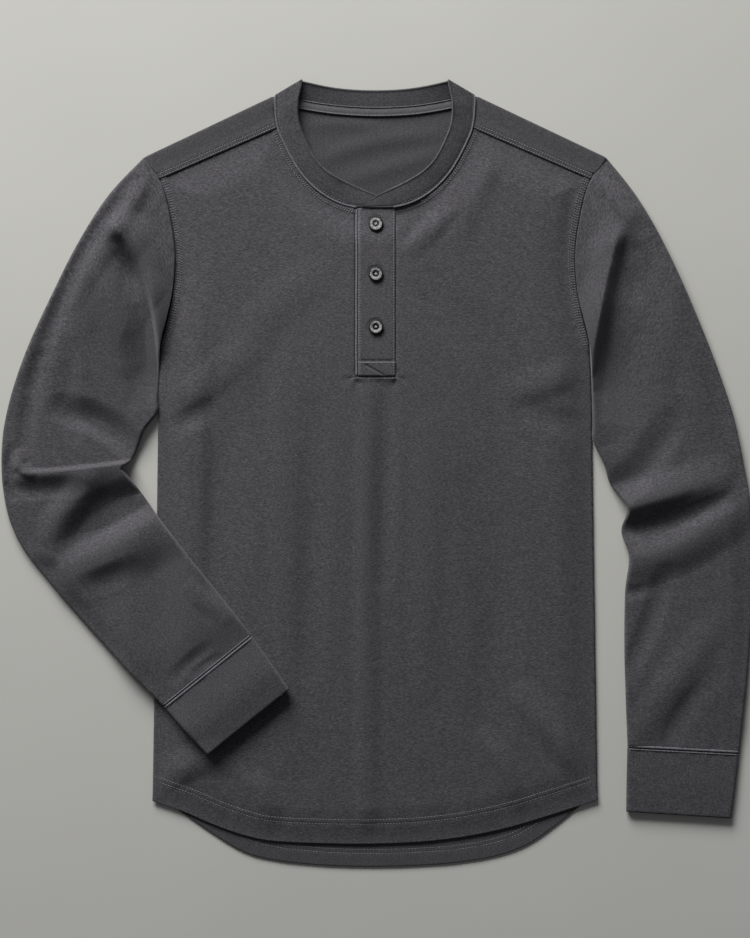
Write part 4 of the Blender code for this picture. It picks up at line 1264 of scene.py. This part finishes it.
def build_neckband():
    rows = band_rows()
    seam = np.column_stack([rows[:, :2], rows[:, 4]])
    free = np.column_stack([rows[:, 2:4], rows[:, 4] + band_stand(rows)])
    across = free - seam
    width = np.linalg.norm(across, axis=1)[:, None]
    across /= width
    normal = np.array([0.0, 0.0, 1.0]) - across * across[:, 2:]
    normal /= np.linalg.norm(normal, axis=1)[:, None]
    steps = np.diff((seam + free) / 2, axis=0)
    along = np.concatenate([[0], np.cumsum(np.linalg.norm(steps, axis=1))])[:, None]
    place, half = band_profile()
    wave = 0.12 * unevenness(along, 9.0, 101) * np.exp(-(place / 0.25) ** 2)
    under = np.broadcast_to(-half, wave.shape)
    lift = np.concatenate([half + wave, under[:, -2:0:-1], under[:, :1]], axis=1)
    place = np.concatenate([place, place[-2:0:-1], place[:1]])
    rings = (seam[:, None] + across[:, None] * (place * width)[..., None]
             + normal[:, None] * lift[..., None])
    rings[..., 2] = np.maximum(rings[..., 2], FLOOR_CLEAR)
    grain = np.stack(np.broadcast_arrays(along, place * 24.0), axis=-1)
    # the rib finish is drawn darker than the jersey: painted shade
    piece = add_piece("neckband_cloth", rings.reshape(-1, 3), capped_tube(*rings.shape[:2]),
                      finish_of("rib"), ["neckband"], grain=grain.reshape(-1, 2))


def band_top(points):
    """Height of the upper face of the front half of the neckband, near its seam."""
    height = np.zeros(len(points))
    for side, rows in ((1.0, BAND_OVER_END + BAND_SIDE),
                       (-1.0, BAND_UNDER_END + other_side(BAND_SIDE))):
        line = through([(row.seam_x, row.seam_y, row.mid) for row in rows], 6)
        near = (points[:, 0] - BAND_LAP) * side > 0
        if near.any():
            along = nearest(points[near], line)[1]
            height[near] = np.interp(along, measure(line), line[:, 2]) + BAND * 0.46
    return height


def build_tape():
    line = through(TAPE_LINE, 12)
    outline = np.vstack([evenly(shifted(line, TAPE_WIDTH / 2), 2.0),
                         evenly(shifted(line, -TAPE_WIDTH / 2), 2.0)[::-1]])
    rows = rows_beside(line, TAPE_POINTS, 1, 2.0)
    flat, triangles = filled(outline, rows, 2.5)
    away, along, side = nearest(flat, line)
    height = TAPE_REST + TAPE + groove(away, 3.0, 0.6, 0.8) + 0.1 * unevenness(along, 7.0, 111)
    height -= 0.35 * np.clip(away - TAPE_ROW, 0, None)
    piece = add_piece("neck_tape_cloth", np.column_stack([flat, height]), triangles,
                      finish_of("tape"), ["neck_tape"],
                      grain=np.column_stack([along, away * side]))
    thicken(piece, TAPE)
    return piece


# ---------------------------------------------------------------- placket and buttons
def placket_lift(points):
    """Relief of the upper placket over the cloth under it."""
    x, y = points.T
    left, right, foot = x - PLACKET_EDGE, NOTCH_LEFT - SEAM_GAP - x, y - PLACKET_FOOT
    relief = groove(np.minimum(left, foot), 0.0, 0.5, 0.7) + groove(right, 0.0, 0.25, 0.5)
    relief += groove(right, 1.9, 0.3, 0.7) + groove(left, 1.6, 0.12, 0.6)
    relief -= 0.8 * (1 - ease((right + 0.5) / 3.0))
    relief += 0.9 * (1 - ease((y - PLACKET_BOX + 1.0) / 1.6)) - 0.9 * (1 - ease(foot / 1.5))
    relief += groove(y, PLACKET_BOX + 0.9, 1.2, 0.8)
    slant = nearest(points, np.array(PLACKET_SLANT))[0]
    relief += groove(slant, 0.0, 1.3, 0.9)
    relief += 0.18 * unevenness(y + 3 * np.sin(x / 6.0), 8.0, 121) * np.exp(-(right / 7.0) ** 2)
    relief += 0.12 * unevenness(y, 10.0, 122) * np.exp(-(left / 6.0) ** 2)
    for middle in BUTTON_Y:
        away = np.hypot(x - BUTTON_X, y - middle)
        relief += groove(away, 7.7, 0.8, 1.1)
    return relief


def placket_top(points):
    """Height of the upper face of the placket's upper layer."""
    below = front_under(points) + PLACKET_UNDER + SEAM_GAP
    return below + PLACKET_OVER + SEAM_GAP + placket_lift(points)


def under_placket_top(points):
    """Height of its lower layer, with the ridge of the fold at its free edge."""
    ridge = 0.6 * np.exp(-((points[:, 0] - NOTCH_RIGHT - 1.6) / 0.8) ** 2)
    return front_under(points) + PLACKET_UNDER + ridge


def box_outline(x0, x1, spacing):
    """Outline of one layer of the placket."""
    y0, y1 = PLACKET_FOOT, PLACKET_TOP
    corners = [(x0, y0), (x1, y0), (x1, y1), (x0, y1), (x0, y0)]
    lines = [evenly(np.array(pair), spacing) for pair in zip(corners, corners[1:])]
    return np.vstack([line[:-1] for line in lines])


def build_placket():
    left, right = NOTCH_RIGHT + SEAM_GAP, NOTCH_LEFT - SEAM_GAP
    rows = [upright(left + d, PLACKET_FOOT, PLACKET_TOP, 2.5) for d in (0.6, 1.2, 1.9, 2.6, 3.4)]
    flat, triangles = filled(box_outline(left, right, 2.5), rows, 5.0)
    piece = add_piece("placket_under_cloth", np.column_stack([flat, under_placket_top(flat)]),
                      triangles, finish_of("jersey"), ["placket_under"], grain=flat)
    thicken(piece, PLACKET_UNDER)

    rows = [upright(x, PLACKET_FOOT, PLACKET_TOP, 1.8)
            for x in (-16.1, -15.6, -14.9, -14.0, 16.8, 17.8, 18.6, 19.4, 20.1)]
    rows += [crosswise(PLACKET_EDGE, right, y, 1.8)
             for y in (92.5, 93.4, 94.4, 105.8, 107.0, 108.2)]
    flat, triangles = filled(box_outline(PLACKET_EDGE, right, 1.0), rows, 1.0)
    piece = add_piece("placket_over_cloth", np.column_stack([flat, placket_top(flat)]),
                      triangles, finish_of("jersey"), ["placket_over"], grain=flat + (700, 0))
    thicken(piece, PLACKET_OVER)


# A button's turned profile, from its rim inwards.
Turn = namedtuple("Turn", "radius height")
BUTTON_TURNING = [
    Turn(7.4, 1.3), Turn(7.3, 1.9), Turn(7.0, 2.25), Turn(6.5, 2.45), Turn(5.9, 2.6),
    Turn(4.7, 2.6), Turn(4.0, 2.45), Turn(3.5, 2.1), Turn(3.1, 1.55), Turn(2.7, 1.42)]

BUTTON_SIDES = 72
BUTTON_SEAT = 0.45          # how far a button stands off the placket
HOLE_PLACE, HOLE_RADIUS, HOLE_SIDES = 1.4, 0.8, 14
THREAD_LIFT = 1.62          # height of the thread in the button's well
THREAD_GAP = 0.22           # from the middle of a pair of threads to each


def circle(radius, sides, x=0.0, y=0.0):
    """Points round a circle about x, y."""
    turn = np.arange(sides) * math.tau / sides
    return np.column_stack([x + radius * np.cos(turn), y + radius * np.sin(turn)])


def turned_by(points, angle):
    """Points turned about the middle of a button."""
    cos, sin = math.cos(angle), math.sin(angle)
    return points @ np.array([(cos, sin), (-sin, cos)])


def button_form():
    """Points and triangles of a four-hole button lying on z = 0."""
    holes = [circle(HOLE_RADIUS, HOLE_SIDES, x * HOLE_PLACE, y * HOLE_PLACE)
             for x in (-1, 1) for y in (-1, 1)]
    rows = [circle(turn.radius, BUTTON_SIDES) for turn in BUTTON_TURNING[1:]]
    rim = circle(BUTTON_TURNING[0].radius, BUTTON_SIDES)
    flat, triangles = filled(rim, rows, 0.8, holes)
    away = np.hypot(*flat.T)
    radii, heights = np.array(BUTTON_TURNING)[::-1].T
    low = 0.55 * np.clip((away - 5.4) / 2.0, 0, 1) ** 2
    count = len(flat)
    points = np.vstack([np.column_stack([flat, low]),
                        np.column_stack([flat, np.interp(away, radii, heights)])])
    sides = {tuple(t[[i, (i + 1) % 3]]) for t in triangles for i in range(3)}
    faces = [t[::-1] for t in triangles] + [t + count for t in triangles]
    for start, end in sides:
        if (end, start) not in sides:
            faces += [(start, end, end + count), (start, end + count, start + count)]
    return points, np.array(faces, np.int32)


def button_threads(middle, angle, height, number):
    """Two crossed pairs of threads through a button's holes."""
    threads = []
    for x, y in ((1, 1), (1, -1)):
        for gap in (-THREAD_GAP, THREAD_GAP):
            ends = np.array([(-x, -y), (x, y)]) * HOLE_PLACE
            ends = ends + np.array((-y, x)) * gap / math.sqrt(2)
            ends = turned_by(ends, angle) + (BUTTON_X, middle)
            threads.append(stitched(ends, level(height), BUTTON_STITCH, number))
    return threads


def build_buttons():
    form, faces = button_form()
    threads = []
    for number, middle in enumerate(BUTTON_Y, start=1):
        high, low = placket_top(np.array([(BUTTON_X, middle + 5.0), (BUTTON_X, middle - 5.0)]))
        seat, tilt = (high + low) / 2 + BUTTON_SEAT, (high - low) / 10.0
        angle = 0.35 * number
        flat = turned_by(form[:, :2], angle)
        top = form[:, 2] + seat + flat[:, 1] * tilt
        points = np.column_stack([flat + (BUTTON_X, middle), top])
        piece = add_piece(f"button_{number}_turned", points, faces, finish_of("horn"),
                          [f"button_{number}"], grain=form + (0, 40.0 * number, 0))
        ring = piece.data.attributes.new("ring", "FLOAT", "POINT")
        ring.data.foreach_set("value", (np.hypot(*form[:, :2].T) / 8.0).astype(np.float32))
        piece.modifiers.new("edges", "EDGE_SPLIT").split_angle = math.radians(50)
        threads += button_threads(middle, angle, seat + THREAD_LIFT, number)
    sew("button_thread", threads, finish_of("button_thread"))


# ---------------------------------------------------------------- topstitching
def sew_hems():
    hems = [stitched(shifted(HEM_LINE, -row), front_top, HEM_STITCH, 131 + i)
            for i, row in enumerate(HEM_ROWS)]
    inner_face = level(SHOULDER_MID + CLOTH / 2 + 0.1)
    hems += [stitched(shifted(BACK_HEM_LINE, -row), inner_face, BACK_HEM_STITCH, 141 + i)
             for i, row in enumerate(BACK_HEM_ROWS)]
    sew("hem_stitching", hems, finish_of("thread"))


def sew_armholes():
    rows = []
    for side in SIDES:
        armhole = through(ARMHOLE[1:], 8) * (side, 1.0)
        rows += [stitched(shifted(armhole, side * row), front_top, SEAM_STITCH, 151 + i)
                 for i, row in enumerate(ARMHOLE_ROWS)]
        rows.append(stitched(shifted(armhole, side * 3.9), front_top, ARMHOLE_COVER, 153))
    sew("armhole_stitching", rows, finish_of("seam"))


def sew_shoulders():
    rows = []
    for side in SIDES:
        seam = evenly(FORWARD_SEAM, 8.0) * (side, 1.0)
        rows += [stitched(shifted(seam, -side * row), flap_top(side), SHOULDER_STITCH, 161)
                 for row in SHOULDER_ROWS]
    sew("shoulder_stitching", rows, finish_of("thread"))


def sew_neck():
    rows = []
    for side in SIDES:
        line = neck_seam(side)
        body = line[line[:, 1] < 338.0]
        rows += [stitched(shifted(body, -side * NECK_ROW), front_top, SEAM_STITCH, 171),
                 stitched(shifted(body, -side * 3.4), front_top, NECK_COVER, 172),
                 stitched(shifted(line[:-6], side * 2.6), band_top, BAND_STITCH, 173)]
    sew("neck_stitching", rows, finish_of("seam"))


def sew_placket():
    def placket_side(x):
        return np.array([(x, PLACKET_FOOT + 1.5), (x, PLACKET_TOP - 0.5)])

    def across(y):
        return np.array([(PLACKET_EDGE + 1, y), (NOTCH_LEFT - 2, y)])
    lines = [placket_side(PLACKET_EDGE + 1.6), placket_side(NOTCH_LEFT - 2.2),
             across(PLACKET_BOX - 1.4)]
    rows = [stitched(line, placket_top, PLACKET_STITCH, 181 + i) for i, line in enumerate(lines)]
    rows.append(stitched(across(PLACKET_FOOT - 1.7), front_top, PLACKET_STITCH, 185))
    sew("placket_stitching", rows, finish_of("thread"))
    y = np.linspace(PLACKET_TOP - 1.0, PLACKET_FOOT + 1.0, 60)
    wander = 0.35 * unevenness(y, 24.0, 186)
    # The folds at the placket's edges are drawn lighter than the jersey: a painted highlight.
    cord("placket_fold_under", np.column_stack([PLACKET_EDGE - 2.1 + wander, y]),
         under_placket_top, 0.6, finish_of("seam"))
    cord("placket_fold_over", np.column_stack([PLACKET_EDGE + 0.5 + wander * 0.4, y]),
         placket_top, 0.45, finish_of("highlight_roll"))


def roll_cuff_seams():
    """Two rolls of cloth along the seam of each cuff, drawn lighter as a painted highlight."""
    for name, sections, rest in (("right", CUFF_RIGHT, sleeve_rest),
                                 ("left", CUFF_LEFT, level(0.0))):
        first = sections[0]
        line = np.array([(first.out_x, first.out_y), (first.in_x, first.in_y)])
        away = (line[1] - line[0]) / np.hypot(*(line[1] - line[0]))
        line = line + np.array([away * 1.2, -away * 1.2])

        def seam_height(points, rest=rest):
            return rest(points) + CUFF_SEAM_LOFT - 0.1
        for row, beside, girth in (("upper", 1.5, 1.25), ("lower", -1.4, 0.8)):
            cord(f"cuff_{name}_seam_{row}", shifted(line, beside), seam_height, girth,
                 finish_of("highlight_roll"), twist=2.6)


def roll_neck_seams():
    """A roll of cloth along the seam of the neckband to each half of the front, drawn lighter as a
    painted highlight.
    """
    def neck_height(points):
        return np.maximum(band_top(points), front_top(points))
    for side, name in zip(SIDES, ("left", "right")):
        line = np.vstack([np.array(BAND_CORNER) * (side, 1.0), neck_seam(side)])
        cord(f"neck_seam_{name}", line, neck_height, 0.9, finish_of("highlight_roll"), twist=2.8)


def sew_tape():
    line, top = through(TAPE_LINE, 12), level(TAPE_REST + TAPE - 0.1)
    sew("tape_stitching", [stitched(shifted(line, TAPE_ROW), top, TAPE_STITCH, 191)],
        finish_of("thread"))
    # The tape's folded top edge is drawn lighter: a painted highlight.
    cord("tape_fold", shifted(line, -4.2), top, 0.5, finish_of("highlight_roll"))


def roll_band_edge():
    """The fold along the free edge of the neckband's upper end and side, drawn lighter as a
    painted highlight.
    """
    rows = front_half()[:-1]
    run = rows[:, :2] - rows[:, 2:4]
    run /= np.hypot(*run.T)[:, None]
    line = rows[:, 2:4] + run * 0.9
    stand = rows[:, 4] + band_stand(rows)
    tree = KDTree(len(line))
    for index, (x, y) in enumerate(line):
        tree.insert((x, y, 0.0), index)
    tree.balance()

    def edge_height(points):
        return np.array([stand[tree.find((x, y, 0.0))[1]] + BAND * 0.42 for x, y in points])
    cord("neckband_edge_over", line, edge_height, 0.4, finish_of("highlight_roll"))


def build_sewing():
    sew_hems()
    sew_armholes()
    sew_shoulders()
    sew_neck()
    sew_placket()
    roll_cuff_seams()
    roll_neck_seams()
    sew_tape()
    roll_band_edge()


# ---------------------------------------------------------------- stage, in metres
FLOOR_STEPS = 24
FLOOR_DROP = 0.0003         # how far the floor lies below the shirt
CLOTH_TOP = 0.004           # height of the cloth that the view is measured on
WINDOW_SIZE = (2.5, 1.6)
SENSOR = 36.0               # width of the camera's sensor, in millimetres


def lay_floor(scene, settings):
    """A plain pale floor just under the shirt."""
    mesh = bpy.data.meshes.new("floor")
    at = np.linspace(-settings.floor_size / 2, settings.floor_size / 2, FLOOR_STEPS)
    x, y = (grid.ravel() for grid in np.meshgrid(at, at))
    points = np.column_stack([x, y, np.full(len(x), -FLOOR_DROP)])
    mesh.from_pydata(points.tolist(), [], tube_faces(FLOOR_STEPS, FLOOR_STEPS, False).tolist())
    mesh.materials.append(floor_finish("pale floor", settings.floor_colour))
    floor = bpy.data.objects.new("floor", mesh)
    scene.collection.objects.link(floor)


def hang_light(scene, settings):
    """A window at the upper left, and faint light from all round."""
    data = bpy.data.lights.new("window", "AREA")
    data.shape = "RECTANGLE"
    data.size, data.size_y = WINDOW_SIZE
    data.energy = settings.key_power
    data.color = (1.0, 0.99, 0.97)
    window = bpy.data.objects.new("window", data)
    window.location = settings.key_place
    window.rotation_euler = (-Vector(settings.key_place)).to_track_quat("-Z", "Y").to_euler()
    scene.collection.objects.link(window)
    world = bpy.data.worlds.new("room")
    world.use_nodes = True
    back = world.node_tree.nodes["Background"]
    back.inputs["Color"].default_value = (0.96, 0.98, 1.0, 1.0)
    back.inputs["Strength"].default_value = settings.fill
    scene.world = world


def set_camera(scene, settings):
    """A camera straight above the middle of the shirt."""
    lens = bpy.data.cameras.new("overhead")
    lens.sensor_width = SENSOR
    lens.lens = SENSOR * (settings.camera_height - CLOTH_TOP) / settings.view_height
    lens.clip_end = 20.0
    camera = bpy.data.objects.new("overhead", lens)
    camera.location = (0.0, 0.0, settings.camera_height)
    scene.collection.objects.link(camera)
    scene.camera = camera
    scene.view_settings.view_transform = "Standard"


def build_stage():
    scene = bpy.context.scene
    settings = scene.henley_stage
    lay_floor(scene, settings)
    hang_light(scene, settings)
    set_camera(scene, settings)


# ---------------------------------------------------------------- settings
class HENLEY_PG_cloth(PropertyGroup):
    """Sizes and colours of the knit."""

    colour: FloatVectorProperty(
        name="Knit colour", description="Middle tone of the heather yarn", subtype="COLOR",
        size=3, min=0.0, max=1.0, default=(0.0565, 0.0548, 0.061))
    contrast: FloatProperty(
        name="Heather contrast", description="How much lighter and darker the streaks are",
        subtype="FACTOR", min=0.0, max=1.0, default=0.66)
    streak_length: FloatProperty(
        name="Streak length", description="Length of one streak of yarn along a course",
        unit="LENGTH", min=0.0005, max=0.02, default=0.0025)
    streak_height: FloatProperty(
        name="Streak height", description="Height of one streak of yarn", unit="LENGTH",
        min=0.0005, max=0.02, default=0.0006)
    sheen: FloatProperty(
        name="Sheen", description="Light caught by the brushed fibres", subtype="FACTOR",
        min=0.0, max=1.0, default=0.15)
    fold_strength: FloatProperty(
        name="Fold strength", description="Height of the folds against their usual height",
        min=0.0, max=1.5, default=1.0)


class HENLEY_PG_trim(PropertyGroup):
    """Colours of the thread, tape and buttons."""

    thread_colour: FloatVectorProperty(
        name="Thread colour", description="Colour of the topstitching", subtype="COLOR",
        size=3, min=0.0, max=1.0, default=(0.17, 0.168, 0.175))
    tape_colour: FloatVectorProperty(
        name="Tape colour", description="Colour of the tape inside the back neck",
        subtype="COLOR", size=3, min=0.0, max=1.0, default=(0.0864, 0.0852, 0.0912))
    button_colour: FloatVectorProperty(
        name="Button colour", description="Middle tone of the horn", subtype="COLOR",
        size=3, min=0.0, max=1.0, default=(0.21, 0.212, 0.215))


class HENLEY_PG_stage(PropertyGroup):
    """Floor, light and camera."""

    floor_colour: FloatVectorProperty(
        name="Floor colour", description="Colour of the plain floor", subtype="COLOR",
        size=3, min=0.0, max=1.0, default=(0.45, 0.45, 0.43))
    floor_size: FloatProperty(
        name="Floor size", description="Width and length of the floor", unit="LENGTH",
        min=1.0, max=20.0, default=5.0)
    camera_height: FloatProperty(
        name="Camera height", description="Height of the camera above the floor",
        unit="LENGTH", min=0.5, max=10.0, default=2.4)
    view_height: FloatProperty(
        name="View height", description="Length of floor the picture takes in",
        unit="LENGTH", min=0.2, max=5.0, default=0.938)
    key_power: FloatProperty(
        name="Window power", description="Power of the soft light at the upper left",
        unit="POWER", min=0.0, max=1000.0, default=240.0)
    key_place: FloatVectorProperty(
        name="Window place", description="Where the soft light stands", subtype="TRANSLATION",
        unit="LENGTH", size=3, default=(-1.1, 2.9, 1.56))
    fill: FloatProperty(
        name="Fill", description="Strength of the light from all round", min=0.0, max=3.0,
        default=0.12)


# ---------------------------------------------------------------- operators
class HENLEY_OT_stage(Operator):
    """Lay the floor and set the light and the camera"""

    bl_idname = "henley.stage"
    bl_label = "Stage"

    def execute(self, context):
        build_stage()
        return {"FINISHED"}


class HENLEY_OT_back(Operator):
    """Make the back, which wraps forward over the shoulders, and the tape inside its neck"""

    bl_idname = "henley.back"
    bl_label = "Back"

    def execute(self, context):
        build_back()
        return {"FINISHED"}


class HENLEY_OT_front(Operator):
    """Make the front with its folds and turned hem"""

    bl_idname = "henley.front"
    bl_label = "Front"

    def execute(self, context):
        build_front()
        return {"FINISHED"}


class HENLEY_OT_sleeves(Operator):
    """Make the two sleeves with their creases"""

    bl_idname = "henley.sleeves"
    bl_label = "Sleeves"

    def execute(self, context):
        build_sleeves()
        return {"FINISHED"}


class HENLEY_OT_cuffs(Operator):
    """Make the two cuffs"""

    bl_idname = "henley.cuffs"
    bl_label = "Cuffs"

    def execute(self, context):
        build_cuffs()
        return {"FINISHED"}


class HENLEY_OT_neckband(Operator):
    """Make the neckband, folded round from the front to the back"""

    bl_idname = "henley.neckband"
    bl_label = "Neckband"

    def execute(self, context):
        build_neckband()
        return {"FINISHED"}


class HENLEY_OT_placket(Operator):
    """Make the lower and the upper placket"""

    bl_idname = "henley.placket"
    bl_label = "Placket"

    def execute(self, context):
        build_placket()
        return {"FINISHED"}


class HENLEY_OT_buttons(Operator):
    """Turn the buttons and sew them on"""

    bl_idname = "henley.buttons"
    bl_label = "Buttons"

    def execute(self, context):
        build_buttons()
        return {"FINISHED"}


class HENLEY_OT_sewing(Operator):
    """Sew the seams, the hems and the placket"""

    bl_idname = "henley.sewing"
    bl_label = "Seams and Topstitching"

    def execute(self, context):
        build_sewing()
        return {"FINISHED"}


class HENLEY_PT_panel(Panel):
    """Settings and steps of the shirt"""

    bl_idname = "HENLEY_PT_panel"
    bl_label = "Henley Shirt"
    bl_space_type = "VIEW_3D"
    bl_region_type = "UI"
    bl_category = "Henley"

    def draw(self, context):
        layout = self.layout
        for title, settings in (("Cloth", context.scene.henley_cloth),
                                ("Trim", context.scene.henley_trim),
                                ("Stage", context.scene.henley_stage)):
            box = layout.box()
            box.label(text=title)
            for name in settings.__annotations__:
                box.prop(settings, name)
        for step in STEPS:
            layout.operator(step.bl_idname)


SETTINGS = {"henley_cloth": HENLEY_PG_cloth, "henley_trim": HENLEY_PG_trim,
            "henley_stage": HENLEY_PG_stage}
STEPS = (HENLEY_OT_stage, HENLEY_OT_back, HENLEY_OT_front, HENLEY_OT_sleeves, HENLEY_OT_cuffs,
         HENLEY_OT_neckband, HENLEY_OT_placket, HENLEY_OT_buttons, HENLEY_OT_sewing)


def register():
    for name, group in SETTINGS.items():
        bpy.utils.register_class(group)
        setattr(bpy.types.Scene, name, PointerProperty(type=group))
    for step in STEPS:
        bpy.utils.register_class(step)
    bpy.utils.register_class(HENLEY_PT_panel)


def unregister():
    bpy.utils.unregister_class(HENLEY_PT_panel)
    for step in reversed(STEPS):
        bpy.utils.unregister_class(step)
    for name, group in SETTINGS.items():
        delattr(bpy.types.Scene, name)
        bpy.utils.unregister_class(group)


def main():
    register()
    for step in STEPS:
        group, name = step.bl_idname.split(".")
        getattr(getattr(bpy.ops, group), name)()


if __name__ == "__main__":
    main()
